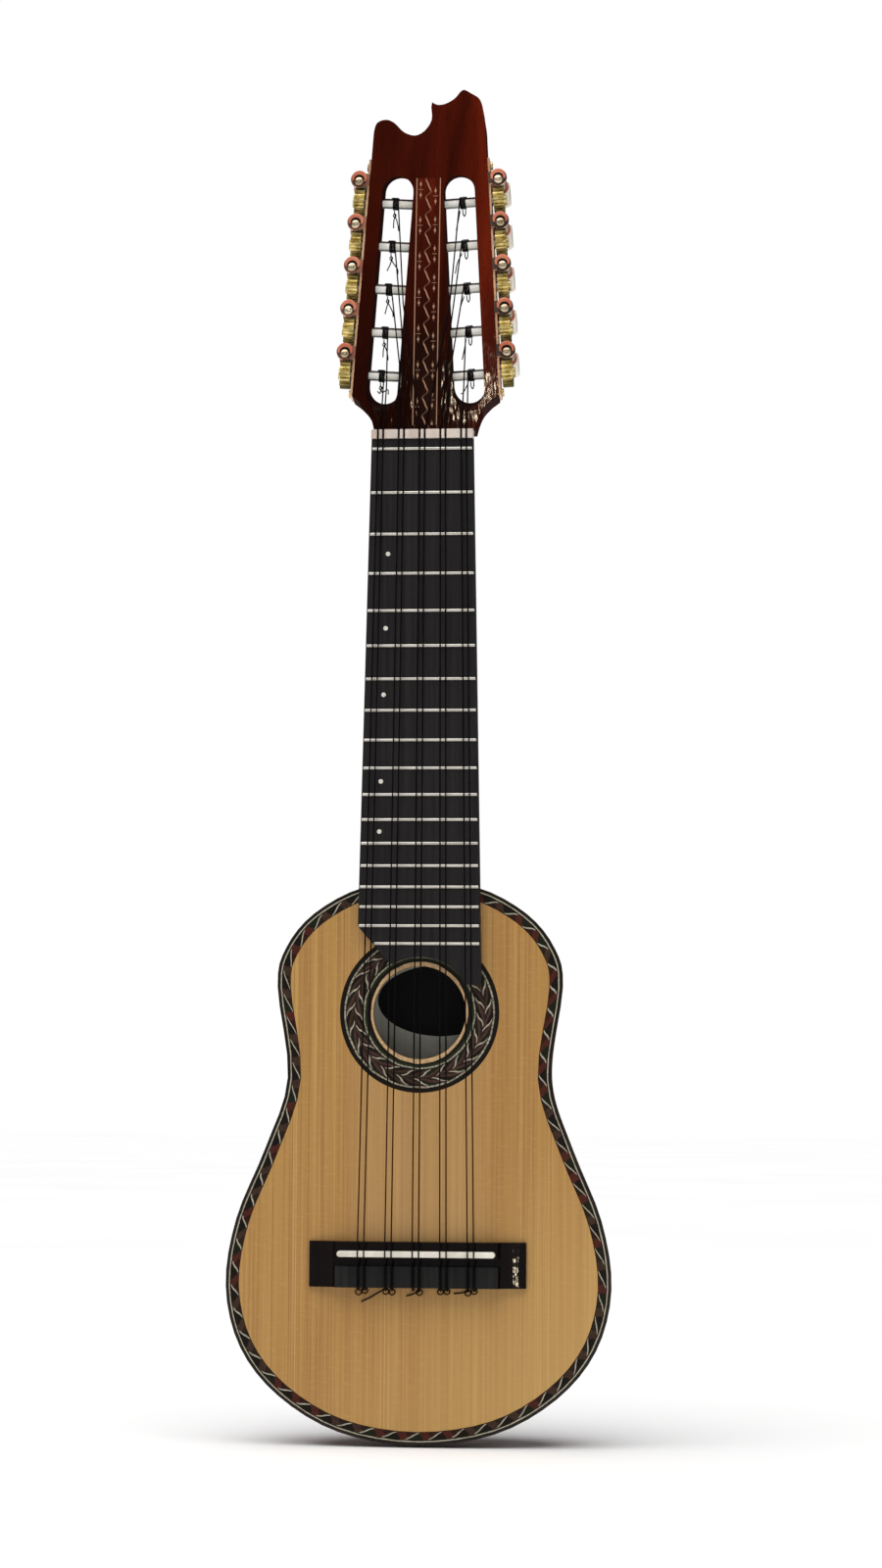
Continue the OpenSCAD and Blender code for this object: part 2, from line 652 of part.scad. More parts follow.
// Winding: out of the roller's cross hole, round the roller, and a short straight end
winding_start = 40;
function winding_at(a) = [winding_pitch * (a / 360), winding_r * sin(a), winding_r * cos(a)];
function winding_path() =
    let (turn = 360 * winding_loops, step = 360 / winding_rings,
        out = unit(winding_at(0) - [0, 0, 0]), tip = winding_at(turn), before = winding_at(turn - 1))
    concat([out * (roller_d / 2 - 0.9)], [for (a = [0:step:turn]) winding_at(a)],
        [tip + string_d * unit(tip - before)]);
function winding_gap(p) = min([for (i = [1:len(p) - 1]) for (j = [i + winding_rings / 2:1:len(p) - 1])
    norm(p[i] - p[j])]) - string_d;
echo(least_gap_of_winding_mm = winding_gap(winding_path()));
module roller(side, k) {
    color("#e9e2d2") side_frame(side) translate([0, gear_y, roller_z(k)]) {
        difference() {
            union() {
                rod_x(side * (gear_inner_x - 0.1), -side * roller_end, roller_d / 2);
                rod_x(side * (gear_inner_x - 0.2), side * (gear_outer_x - 0.1), gear_bore_r);
            }
            translate([side * winding_x, 0, 0]) rotate([winding_start, 0, 0])
                rod_z(0, roller_d, string_hole_r);
        }
        translate([side * winding_x, 0, 0]) rotate([winding_start, 0, 0])
            tube([for (p = winding_path()) [side * p[0], -p[1], p[2]]], string_r, 6);
    }
}

body_bowl();
soundboard();
soundboard_braces();
rosette();
edge_binding();
edge_purfling();
neck();
fretboard();
frets();
position_dots();
nut();
headstock();
head_inlay();
bridge();
saddle();
strings();
tuner_plate(-1);  // tuner_plate_left
tuner_plate(1);  // tuner_plate_right
plate_screws();
for (s = [0, 1], k = [1:TUNERS]) {
    worm(2 * s - 1, k);
    button(2 * s - 1, k);
    gear(2 * s - 1, k);
    roller(2 * s - 1, k);
}
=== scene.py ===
"""Charango: the looks of the instrument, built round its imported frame."""
import json
import math

import bmesh
import bpy
from mathutils import Matrix, Vector


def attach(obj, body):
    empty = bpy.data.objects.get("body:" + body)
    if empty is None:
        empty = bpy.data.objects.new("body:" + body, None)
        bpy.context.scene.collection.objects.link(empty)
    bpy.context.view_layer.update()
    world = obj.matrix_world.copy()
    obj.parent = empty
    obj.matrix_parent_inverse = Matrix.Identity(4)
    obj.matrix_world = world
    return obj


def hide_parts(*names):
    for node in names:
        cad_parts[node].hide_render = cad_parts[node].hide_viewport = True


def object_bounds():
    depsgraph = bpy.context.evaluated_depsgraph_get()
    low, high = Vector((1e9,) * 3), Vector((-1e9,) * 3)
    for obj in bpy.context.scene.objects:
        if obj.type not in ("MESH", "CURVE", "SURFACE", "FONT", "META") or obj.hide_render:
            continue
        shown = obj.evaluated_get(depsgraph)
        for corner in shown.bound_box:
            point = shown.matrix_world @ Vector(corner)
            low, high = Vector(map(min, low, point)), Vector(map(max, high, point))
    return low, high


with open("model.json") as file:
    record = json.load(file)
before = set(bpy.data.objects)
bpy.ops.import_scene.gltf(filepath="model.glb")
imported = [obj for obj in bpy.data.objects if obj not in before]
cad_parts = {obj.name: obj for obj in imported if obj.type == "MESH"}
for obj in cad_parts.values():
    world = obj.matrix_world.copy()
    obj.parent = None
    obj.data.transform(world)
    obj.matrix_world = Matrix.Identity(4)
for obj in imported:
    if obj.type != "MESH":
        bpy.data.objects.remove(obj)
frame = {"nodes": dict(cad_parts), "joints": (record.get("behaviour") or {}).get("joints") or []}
cad_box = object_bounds()
MM = 0.001
SIDES = {"left": -1, "right": 1}
TUNERS = (1, 2, 3, 4, 5)

# Sizes in mm, as in the part's source, with z from the zero fret
SCALE_LENGTH = 370
FACE_Y = -10
FRET_TOP = FACE_Y - 0.8
TOP_Y = -4
JOINT_Z = -SCALE_LENGTH * (1 - 2 ** (-14 / 12))
HOLE_Z = JOINT_Z - 57.8
HOLE_R = 21.5
ROSETTE_R = 37
INLAY_T = 0.8
BINDING_W = 1.5
PURFLING_W = 4.7
HEAD_ANGLE = math.radians(6)
RAIL_ANGLE = math.radians(3.4)
HEAD_SHIFT = 0.8
HEAD_Y = -8
HEAD_Z = 9.6
SHOULDER_HALF = 34.5
SHOULDER_S = 16.5
GEAR_Y = 6.5
STRIP_W = 12
STRIP_BOTTOM = 2
STRIP_TOP = 124
STRIP_T = 0.6
STRING_R = 0.33
ROLLER_R = 2.4
ROLLER_IN = 24.8
WINDING_X = -14
WINDING_R = 2.77
WORM_X = 4.9
WORM_Z = 9.1
EAR_FRONT = -7.1
STUB_OUT = 1.9
FIRST_ROLLER = 12.45
TUNER_PITCH = 21.4
COURSE_BRIDGE = 12.6
PAIR_BRIDGE = 2.9
COURSE_NUT = 9.75
PAIR_NUT = 2.45
NUT_GROOVE_Y = -10.6
NUT_LOW_Z = 6.95
NUT_HIGH_Z = 9.1
BRIDGE_HIGH_Z = -363.5
SADDLE_TOP_Y = -15.95
SADDLE_HIGH_Z = -372.3
SADDLE_LOW_Z = -375.3
TIE_H = 7.5
TIE_HOLE_Y = -9.5
TIE_HOLE_HIGH_Z = -378.7
TIE_HOLE_LOW_Z = -390.5
# Counts; the bare string has no ring behind the bridge
STRING_COUNT = 10
BARE_STRING = 4
ROPE_PIECES = 66
BORDER_STEPS = 330
ROSETTE_PIECES = 23
# Sizes of what only the scene has
INLAY_SHEET = INLAY_T - 0.02
ROW_OUTER_R = 33.9
ROW_MIDDLE_R = 30.2
ROW_INNER_R = 26.5
ROW_W = 3.7
# Low end of the paler soundboard under the strings
PALE_LOW_Z = -376
# Where the strings' painted shadow brown starts and where it is full
SHADOW_BROWN_HIGH_Z = -294
SHADOW_BROWN_FULL_Z = -302
TIE_HALF_W = 37
TIE_EDGE_Z = -379
TIE_HIGH_Z = -379.4
TIE_LOW_Z = -389.2
RING_R = 1.35
EAR_RING_R = 3.6
EAR_RING_Z = 0.5
LABEL_MIDDLE = (4, 58.9, -255.7)
LABEL_HALF_W = 30
LABEL_HALF_H = 17
# Loose string ends behind the bridge, each from one (x, z) to another
LOOSE_TAILS = [(-15.5, -390, -25.9, -395.7), (1.4, -390.4, -5.1, -392.9), (24.4, -390.2, 16.8, -391.6)]
# Where each string bends over its slot's edge, as (x, s) on the head, from the lowest tuner up
EDGE_BENDS = [(20.1, 12), (18.2, 20), (12.3, 32), (11.4, 48), (11.1, 62)]
# Half of the body's outline, as (x, z) from its joint with the neck
BODY_SIDE = [
    (5, 0), (27, 0), (49.5, -12), (62.5, -28), (66.3, -46), (61.1, -88), (71.2, -120.5), (84.4, -153),
    (89, -184), (82, -212), (64, -234), (36, -250), (0, -255.6), (-36, -250)]
CURVE_STEPS = 4
# The camera, turned in degrees, and the floor
EYE = Vector((153.871, -1631.031, -303.915)) * MM
CAMERA_TURN = (95.14369, -0.37059, 5.04397)
CAMERA_LENS = 81
FLOOR_Z = -461.8


def only(piece):
    """Leaves this piece alone selected, and active."""
    bpy.ops.object.select_all(action="DESELECT")
    piece.select_set(True)
    bpy.context.view_layer.objects.active = piece


def edit(piece, mode="VERT", select="SELECT"):
    """Opens a piece in edit mode, with all or nothing of it selected."""
    only(piece)
    bpy.ops.object.mode_set(mode="EDIT")
    bpy.ops.mesh.select_mode(type=mode)
    bpy.ops.mesh.select_all(action=select)


def done():
    """Leaves edit mode."""
    bpy.ops.object.mode_set(mode="OBJECT")


def pick_faces(piece, test):
    """Selects the faces, of the piece being edited, whose middle and normal pass the test."""
    mesh = bmesh.from_edit_mesh(piece.data)
    for face in mesh.faces:
        face.select_set(test(face.calc_center_median() / MM, face.normal))
    mesh.select_flush_mode()
    bmesh.update_edit_mesh(piece.data)


def pick_edges(piece, test):
    """Selects the edges, of the piece being edited, whose two ends pass the test."""
    mesh = bmesh.from_edit_mesh(piece.data)
    for edge in mesh.edges:
        edge.select_set(test(edge.verts[0].co / MM, edge.verts[1].co / MM))
    mesh.select_flush_mode()
    bmesh.update_edit_mesh(piece.data)


def modified(piece, kind, **settings):
    """Adds a modifier to a piece and applies it."""
    only(piece)
    modifier = piece.modifiers.new(kind.lower(), kind)
    for key, value in settings.items():
        setattr(modifier, key, value)
    bpy.ops.object.modifier_apply(modifier=modifier.name)


def smooth(piece, angle=35):
    """Shades a piece smooth, apart from edges sharper than the angle."""
    only(piece)
    bpy.ops.object.shade_smooth_by_angle(angle=math.radians(angle))


def at_origin(piece):
    """Moves a piece's place into its mesh."""
    only(piece)
    bpy.ops.object.transform_apply(location=True, rotation=True, scale=True)


def outwards(piece):
    """Merges doubled points and turns the faces outwards."""
    edit(piece)
    bpy.ops.mesh.remove_doubles(threshold=1e-6)
    bpy.ops.mesh.normals_make_consistent(inside=False)
    done()


def solid_copy(node, name, flat=True):
    """A copy of a CAD solid's mesh, merged, with its flat faces in one piece."""
    piece = bpy.data.objects.new(name, frame["nodes"][node].data.copy())
    bpy.context.collection.objects.link(piece)
    edit(piece)
    bpy.ops.mesh.remove_doubles(threshold=1e-6)
    if flat:
        bpy.ops.mesh.dissolve_limited(angle_limit=math.radians(0.5))
    done()
    bpy.ops.mesh.customdata_custom_splitnormals_clear()
    return piece


def eased(node, name, width, segments=2, angle=35, smooth_angle=35):
    """A copy of a CAD solid with its sharp edges eased."""
    piece = solid_copy(node, name)
    modified(piece, "BEVEL", width=width * MM, segments=segments, limit_method="ANGLE",
             angle_limit=math.radians(angle))
    smooth(piece, smooth_angle)
    modified(piece, "WEIGHTED_NORMAL", keep_sharp=True)
    return piece


def rounded(node, name):
    """A copy of a CAD solid as a subdivision surface that keeps its sharp edges."""
    piece = solid_copy(node, name, flat=False)
    edit(piece, "EDGE")
    bpy.ops.mesh.tris_convert_to_quads(face_threshold=math.radians(70), shape_threshold=math.radians(70))
    bpy.ops.mesh.select_all(action="DESELECT")
    bpy.ops.mesh.edges_select_sharp(sharpness=math.radians(50))
    bpy.ops.transform.edge_crease(value=1)
    done()
    modified(piece, "SUBSURF", levels=2, render_levels=2)
    smooth(piece, 40)
    return piece


def fitted(piece, finish, body="instrument", nodes=()):
    """Gives a finished piece its finish and its body, and hides the CAD nodes that it stands for."""
    piece.data.materials.clear()
    piece.data.materials.append(finish)
    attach(piece, body)
    if nodes:
        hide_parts(*nodes)
    return piece


def dressed(node, finish):
    """A CAD node that keeps its shape and gets a finish."""
    materials = frame["nodes"][node].data.materials
    materials.clear()
    materials.append(finish)


def wire(name, paths, radius=STRING_R, resolution=2):
    """Round strings along paths in mm, as one mesh."""
    curve = bpy.data.curves.new(name, "CURVE")
    curve.dimensions = "3D"
    curve.bevel_depth = radius * MM
    curve.bevel_resolution = resolution
    curve.use_fill_caps = True
    for path in paths:
        spline = curve.splines.new("POLY")
        spline.points.add(len(path) - 1)
        for point, place in zip(spline.points, path):
            point.co = (*(Vector(place) * MM), 1)
    piece = bpy.data.objects.new(name, curve)
    bpy.context.collection.objects.link(piece)
    only(piece)
    bpy.ops.object.convert(target="MESH")
    piece = bpy.context.object
    outwards(piece)
    smooth(piece, 60)
    return piece


def placed(piece, name, matrix):
    """A copy of a modelled piece, with its own mesh, at another place."""
    copy = bpy.data.objects.new(name, piece.data.copy())
    bpy.context.collection.objects.link(copy)
    copy.matrix_world = matrix
    at_origin(copy)
    return copy


def curve_point(a, b, c, d, t):
    """Point between b and c, at t from 0 to 1, on a smooth curve through all four."""
    return 0.5 * (2 * b + (c - a) * t + (2 * a - 5 * b + 4 * c - d) * t * t
                  + (3 * b - a - 3 * c + d) * t ** 3)


def curved(points, steps):
    """Points on a smooth curve; the first and last given points only set its end directions."""
    p = [Vector(q) for q in points]
    found = [curve_point(*p[i - 1:i + 3], k / steps) for i in range(1, len(p) - 2) for k in range(steps)]
    return found + [p[-2]]


def inset(p, distance):
    """Moves a closed outline inwards."""
    moved = []
    for i, q in enumerate(p):
        step = p[(i + 1) % len(p)] - p[i - 1]
        moved.append(q + distance * Vector((step[1], -step[0])) / step.length)
    return moved


def evenly(p, count):
    """Points at equal steps round a closed outline."""
    loop = p + [p[0]]
    lengths = [(loop[i + 1] - loop[i]).length for i in range(len(p))]
    total = sum(lengths)
    places = []
    i = 0
    passed = 0
    for k in range(count):
        want = total * k / count
        while passed + lengths[i] < want:
            passed += lengths[i]
            i += 1
        places.append(loop[i].lerp(loop[i + 1], (want - passed) / lengths[i]))
    return places


def strip(name, columns, rows, place, closed):
    """A flat strip bent to its place: place(u, v) in mm, with u along it and v across it."""
    bpy.ops.object.select_all(action="DESELECT")
    bpy.ops.mesh.primitive_grid_add(x_subdivisions=columns, y_subdivisions=rows, size=1)
    piece = bpy.context.object
    piece.name = name
    for vertex in piece.data.vertices:
        vertex.co = Vector(place(vertex.co.x + 0.5, vertex.co.y + 0.5)) * MM
    if closed:
        edit(piece)
        bpy.ops.mesh.remove_doubles(threshold=1e-6)
        done()
    return piece


def head_point(x, s, d):
    """Point on the head: x across it, s up along its face and d back from its face."""
    return Vector((
        HEAD_SHIFT + x,
        HEAD_Y + d * math.cos(HEAD_ANGLE) + s * math.sin(HEAD_ANGLE),
        HEAD_Z + s * math.cos(HEAD_ANGLE) - d * math.sin(HEAD_ANGLE)))


# Straight back from the head's face
HEAD_BACK = head_point(0, 0, 1) - head_point(0, 0, 0)


def rgb(*levels):
    """A picture's 0-255 levels as a linear colour."""
    return tuple(v / 12.92 if v <= 0.04045 else ((v + 0.055) / 1.055) ** 2.4
                 for v in (level / 255 for level in levels)) + (1,)


class Number:
    """A number worked out by nodes: sums and products of it add Math nodes."""

    def __init__(self, tree, socket):
        self.tree = tree
        self.socket = socket

    def math(self, operation, *others):
        node = self.tree.nodes.new("ShaderNodeMath")
        node.operation = operation
        for slot, value in zip(node.inputs, (self, *others)):
            if isinstance(value, Number):
                self.tree.links.new(value.socket, slot)
            else:
                slot.default_value = value
        return Number(self.tree, node.outputs[0])

    def __add__(self, other):
        return self.math("ADD", other)

    def __sub__(self, other):
        return self.math("SUBTRACT", other)

    def __mul__(self, other):
        return self.math("MULTIPLY", other)

    def size(self):
        return self.math("ABSOLUTE")

    def part(self):
        return self.math("FRACT")

    def whole(self):
        return self.math("FLOOR")

    def over(self, edge):
        return self.math("GREATER_THAN", edge)

    def under(self, edge):
        return self.math("LESS_THAN", edge)

    def between(self, low, high):
        return self.over(low) * self.under(high)

    def also(self, other):
        return self.math("MAXIMUM", other)


class Finish:
    """A material under construction."""

    def __init__(self, name, **settings):
        self.material = bpy.data.materials.new(name)
        self.material.use_nodes = True
        self.tree = self.material.node_tree
        self.shader = self.tree.nodes["Principled BSDF"]
        for key, value in settings.items():
            self.shader.inputs[key.replace("_", " ")].default_value = value

    def node(self, kind, inputs=None, **settings):
        """Adds a node with its settings and inputs."""
        made = self.tree.nodes.new("ShaderNode" + kind)
        for key, value in settings.items():
            setattr(made, key, value)
        for key, value in (inputs or {}).items():
            self.join(value, made.inputs[key])
        return made

    def join(self, value, slot):
        """Links a slot to a socket, or sets its value."""
        if isinstance(value, Number):
            value = value.socket
        if isinstance(value, bpy.types.NodeSocket):
            self.tree.links.new(value, slot)
        else:
            slot.default_value = value

    def coords(self, kind="Object", scale=(1, 1, 1)):
        source = self.node("TexCoord").outputs[kind]
        return self.node("Mapping", {"Vector": source, "Scale": scale}).outputs[0]

    def axes(self, vector):
        made = self.node("SeparateXYZ", {"Vector": vector})
        return [Number(self.tree, socket) for socket in made.outputs]

    def noise(self, vector, scale, detail=3, roughness=0.5, distortion=0):
        made = self.node("TexNoise", {"Vector": vector, "Scale": scale, "Detail": detail,
                                      "Roughness": roughness, "Distortion": distortion})
        return Number(self.tree, made.outputs[0])

    def chance(self, number):
        """A chance number from 0 to 1 that belongs to this number."""
        made = self.node("TexWhiteNoise", {"W": number}, noise_dimensions="1D")
        return Number(self.tree, made.outputs[0])

    def ramp(self, factor, *stops):
        """Colours along stops of (position, colour)."""
        made = self.node("ValToRGB", {"Fac": factor})
        elements = made.color_ramp.elements
        while len(elements) < len(stops):
            elements.new(0.5)
        for element, (position, colour) in zip(elements, stops):
            element.position = position
            element.color = colour
        return made.outputs[0]

    def mix(self, factor, a, b):
        """Colour a, turning to b as the factor goes from 0 to 1 (6, 7 and 2 are its colour sockets)."""
        made = self.node("Mix", data_type="RGBA")
        self.join(factor, made.inputs["Factor"])
        self.join(a, made.inputs[6])
        self.join(b, made.inputs[7])
        return made.outputs[2]

    def grade(self, number, low, high, to_low, to_high):
        """Goes from to_low to to_high as the number goes from low to high."""
        made = self.node("MapRange", {"Value": number, "From Min": low, "From Max": high,
                                      "To Min": to_low, "To Max": to_high})
        return Number(self.tree, made.outputs[0])

    def bump(self, height, strength, distance):
        made = self.node("Bump", {"Height": height, "Strength": strength, "Distance": distance * MM})
        for layer in ("Normal", "Coat Normal"):
            self.join(made.outputs[0], self.shader.inputs[layer])

    def set(self, **values):
        """Joins values to the shader, and gives the finished material."""
        for key, value in values.items():
            self.join(value, self.shader.inputs[key.replace("_", " ")])
        return self.material


def cedar_finish():
    """Straight-grained cedar under a satin lacquer: fine year rings, silk and slow bands of tone."""
    f = Finish("cedar_top", Coat_Weight=0.12, Coat_Roughness=0.3)
    lines = f.noise(f.coords(scale=(900, 60, 5)), 1, detail=4, roughness=0.65)
    wide = f.noise(f.coords(scale=(150, 20, 1.6)), 1, detail=2)
    silk = f.noise(f.coords(scale=(200, 20, 760)), 1, detail=3, roughness=0.6)
    base = f.ramp(lines, (0.28, rgb(142, 99, 43)), (0.5, rgb(172, 128, 63)), (0.72, rgb(192, 148, 78)))
    late_wood = f.noise(f.coords(scale=(1300, 20, 2.4)), 1, detail=0)
    lined = f.mix(f.grade(late_wood, 0.68, 0.74, 0, 0.5), base, rgb(130, 88, 38))
    streaked = f.mix(f.grade(late_wood, 0.32, 0.26, 0, 0.5), lined, rgb(208, 168, 100))
    toned = f.mix(f.grade(wide, 0.35, 0.7, 0, 0.5), streaked, rgb(162, 113, 50))
    x, _, z = f.axes(f.coords())
    low_right = f.mix(f.grade(x - z, 0.37, 0.5, 0, 0.4), toned, rgb(200, 164, 96))
    # Paler under the strings, from behind the saddle to the neck's joint.
    paler_under_strings = f.grade(x.size(), 0.022, 0.036, 0.26, 0) * z.between(PALE_LOW_Z * MM, JOINT_Z * MM)
    pale = f.mix(paler_under_strings, low_right, rgb(205, 166, 116))
    colour = f.mix(f.grade(silk, 0.52, 0.75, 0, 0.28), pale, rgb(198, 157, 89))
    f.bump(lines, 0.12, 0.1)
    return f.set(Base_Color=colour, Roughness=f.grade(lines, 0.2, 0.8, 0.5, 0.38))


def gloss_wood(name, dark, mid, light, ring=1.0, coat=0.7, specular=0.5, shade=0, foot=0, ripple=0.1):
    """Lacquered hardwood: grain along the instrument, fine pores and ripples in the lacquer.

    The head's wood also has painted shade on its left side (shade), and a darker foot and middle (foot).
    """
    f = Finish(name, Coat_Weight=coat, Coat_Roughness=0.06, Specular_IOR_Level=specular)
    along = f.coords(scale=(60 * ring, 60 * ring, 3.2))
    figure = f.noise(along, 1, detail=5, roughness=0.6, distortion=0.6)
    pores = f.noise(f.coords(scale=(1500, 1500, 40)), 1, detail=2)
    wood = f.ramp(figure, (0.3, dark), (0.52, mid), (0.75, light))
    if shade or foot:
        x, _, z = f.axes(f.coords())
        # Painted shade on the left side.
        wood = f.mix(f.grade(x, -0.034, 0.03, shade, 0), wood, dark)
        low = f.grade(z, 0.035, 0.1, foot, 0) * f.grade(x.size(), 0.012, 0.032, 1, 0.5)
        wood = f.mix(low, wood, rgb(14, 4, 2))
    colour = f.mix(f.grade(pores, 0.6, 0.72, 0, 0.55), wood, dark)
    f.bump(pores * 0.1 + f.noise(f.coords(scale=(420, 420, 130)), 1, detail=1) * ripple, 0.5, 0.05)
    return f.set(Base_Color=colour, Roughness=f.grade(figure, 0.3, 0.7, 0.34, 0.24))


def ebony_finish(name, dark, light, rough, coat=0.0, specular=0.12, ripple=0.0):
    """Nearly black wood with fine streaks and pores, and ripples where it's lacquered."""
    f = Finish(name, Specular_IOR_Level=specular, Coat_Weight=coat, Coat_Roughness=0.04)
    streaks = f.noise(f.coords(scale=(420, 200, 9)), 1, detail=5, roughness=0.6)
    pores = f.noise(f.coords(scale=(1800, 600, 60)), 1, detail=2)
    base = f.ramp(streaks, (0.3, dark), (0.7, light))
    colour = f.mix(f.grade(pores, 0.6, 0.75, 0, 0.6), base, rgb(8, 7, 7))
    waves = f.noise(f.coords(scale=(160, 160, 160)), 1, detail=1)
    f.bump(pores * 0.2 + waves * ripple, 0.6, 0.06)
    return f.set(Base_Color=colour, Roughness=f.grade(streaks, 0.3, 0.7, rough, rough + 0.1))


def metal_finish(name, bright, worn, rough, streak=(500, 500, 500), metal=1.0, foot_shade=0):
    """Polished metal with fine scratches and a faint film; a fret's foot gets painted shade
    (foot_shade).
    """
    f = Finish(name, Metallic=metal)
    film = f.noise(f.coords(scale=(90, 90, 90)), 1, detail=4)
    scratch = f.noise(f.coords(scale=streak), 1, detail=3)
    f.bump(scratch, 0.06, 0.03)
    colour = f.ramp(film, (0.35, worn), (0.6, bright))
    if foot_shade:
        # A fret's foot is painted darker: painted shade on the sides of its crown.
        y = f.axes(f.coords())[1]
        foot = f.grade(y, (FACE_Y - 0.56) * MM, (FACE_Y - 0.42) * MM, 0, foot_shade)
        colour = f.mix(foot, colour, rgb(46, 42, 38))
    return f.set(Base_Color=colour,
                 Roughness=f.grade(scratch, 0.3, 0.7, rough, rough + 0.14))


def bone_finish(name, dark, light, rough=0.35):
    """Bone or ivory-coloured plastic, slightly clouded."""
    f = Finish(name, Subsurface_Weight=0.08, Subsurface_Scale=0.002)
    cloud = f.noise(f.coords(scale=(140, 140, 60)), 1, detail=4)
    f.bump(f.noise(f.coords(scale=(1400, 1400, 500)), 1, detail=2), 0.05, 0.05)
    return f.set(Base_Color=f.ramp(cloud, (0.35, dark), (0.65, light)),
                 Roughness=f.grade(cloud, 0.3, 0.7, rough, rough + 0.1))


def degrees_round(f):
    """Degrees round a roller's axis, from its front upwards, on the UV map that around_axis lays."""
    front, up, _ = f.axes(f.coords("UV"))
    return up.math("ARCTAN2", front) * (180 / math.pi)


def roller_finish():
    """Bright bar with dark lines along its upper and lower sides: painted reflections, as a polished bar
    shows in a room.
    """
    f = Finish("roller_bright", Subsurface_Weight=0.08, Subsurface_Scale=0.002)
    x = f.axes(f.coords())[0]
    turn = degrees_round(f)
    # Painted reflections: a dark band above and a dark band below the bar's front.
    upper = f.grade(turn, 10, 22, 0, 1) * turn.under(95)
    lower = f.grade(turn, -52, -66, 0, 1) * turn.over(-130) * f.grade(x, -0.005, 0.005, 0.95, 0.7)
    cloud = f.noise(f.coords(scale=(140, 140, 60)), 1, detail=4)
    base = f.ramp(cloud, (0.35, rgb(240, 234, 222)), (0.65, rgb(254, 252, 246)))
    f.bump(cloud, 0.05, 0.05)
    return f.set(Base_Color=f.mix(lower, f.mix(upper, base, rgb(50, 22, 19)), rgb(52, 48, 37)),
                 Roughness=f.grade(cloud, 0.3, 0.7, 0.26, 0.36))


def gear_finish():
    """Brass gear, bright where it faces the front, with painted shade above and below."""
    f = Finish("gear_brass", Metallic=0.7)
    turn = degrees_round(f)
    film = f.noise(f.coords(scale=(260, 260, 260)), 1, detail=3)
    bright = f.ramp(film, (0.35, rgb(146, 126, 58)), (0.65, rgb(238, 218, 150)))
    # Painted shade above and below the gear's front.
    upper = f.grade(turn, 12, 45, 0, 0.85)
    lower = f.grade(turn, -38, -70, 0, 0.85)
    f.bump(film, 0.06, 0.03)
    return f.set(Base_Color=f.mix(lower, f.mix(upper, bright, rgb(60, 46, 18)), rgb(62, 54, 12)),
                 Roughness=f.grade(film, 0.3, 0.7, 0.22, 0.36))


CREAM = rgb(178, 172, 152)
BLACK = rgb(18, 13, 8)
GREEN = rgb(34, 44, 20)
RED = rgb(76, 33, 25)
ROSE = rgb(77, 52, 46)
BROWN = rgb(62, 44, 34)
MOSS = rgb(24, 28, 14)


def rope_row(f, u, level, pieces, slant, red, wave, stroke_w):
    """Slanted leaves of dyed wood between dark triangles, each with a pale stroke beside it.

    The level runs from 0 to 1 across the row.
    """
    sway = level + (level * (2 * math.pi)).math("SINE") * wave
    turns = u * pieces + sway * slant
    place = turns.part()
    piece = f.chance(turns.whole())
    lean = place - level * 0.78
    leaf = f.mix(piece.over(0.45), BROWN, red)
    row = f.mix(lean.over(-0.16), f.mix(0.7, leaf, BLACK), leaf)
    row = f.mix(lean.over(0.22), row, f.mix(piece.over(0.6), BLACK, MOSS))
    stroke = (place - 0.5).size().over(0.5 - stroke_w / 2) * level.between(0.05, 0.94)
    return f.mix(stroke, row, CREAM)


def wander(f):
    """How far, in mm, a hand-laid line strays from its place."""
    return (f.noise(f.coords(scale=(170, 170, 170)), 1, detail=1) - 0.5) * 0.8


def inlay_grain(f, colour):
    """The grain and lacquer that all the small inlaid pieces share."""
    grain = f.noise(f.coords(scale=(900, 900, 900)), 1, detail=3)
    f.bump(grain, 0.08, 0.05)
    return f.set(Base_Color=f.mix(f.grade(grain, 0.35, 0.7, 0, 0.4), colour, BLACK),
                 Roughness=f.grade(grain, 0.3, 0.7, 0.42, 0.52))


def purfling_finish():
    """Rope border: a white line, slanted pieces of dyed wood with pale strokes, and a dark line."""
    f = Finish("rope_border", Coat_Weight=0.03, Coat_Roughness=0.3, Specular_IOR_Level=0.1)
    u, v, _ = f.axes(f.coords("UV"))
    across = v * PURFLING_W + wander(f) * 0.5
    rope_out = 0.95
    rope_in = PURFLING_W - 0.25
    level = (across - rope_out) * (1 / (rope_in - rope_out))
    rope = rope_row(f, u, level, pieces=ROPE_PIECES, slant=0.72, red=RED, wave=0.04, stroke_w=0.1)
    dark = across.under(rope_out).also(across.over(rope_in))
    return inlay_grain(f, f.mix(across.under(0.52), f.mix(dark, rope, BLACK), CREAM))


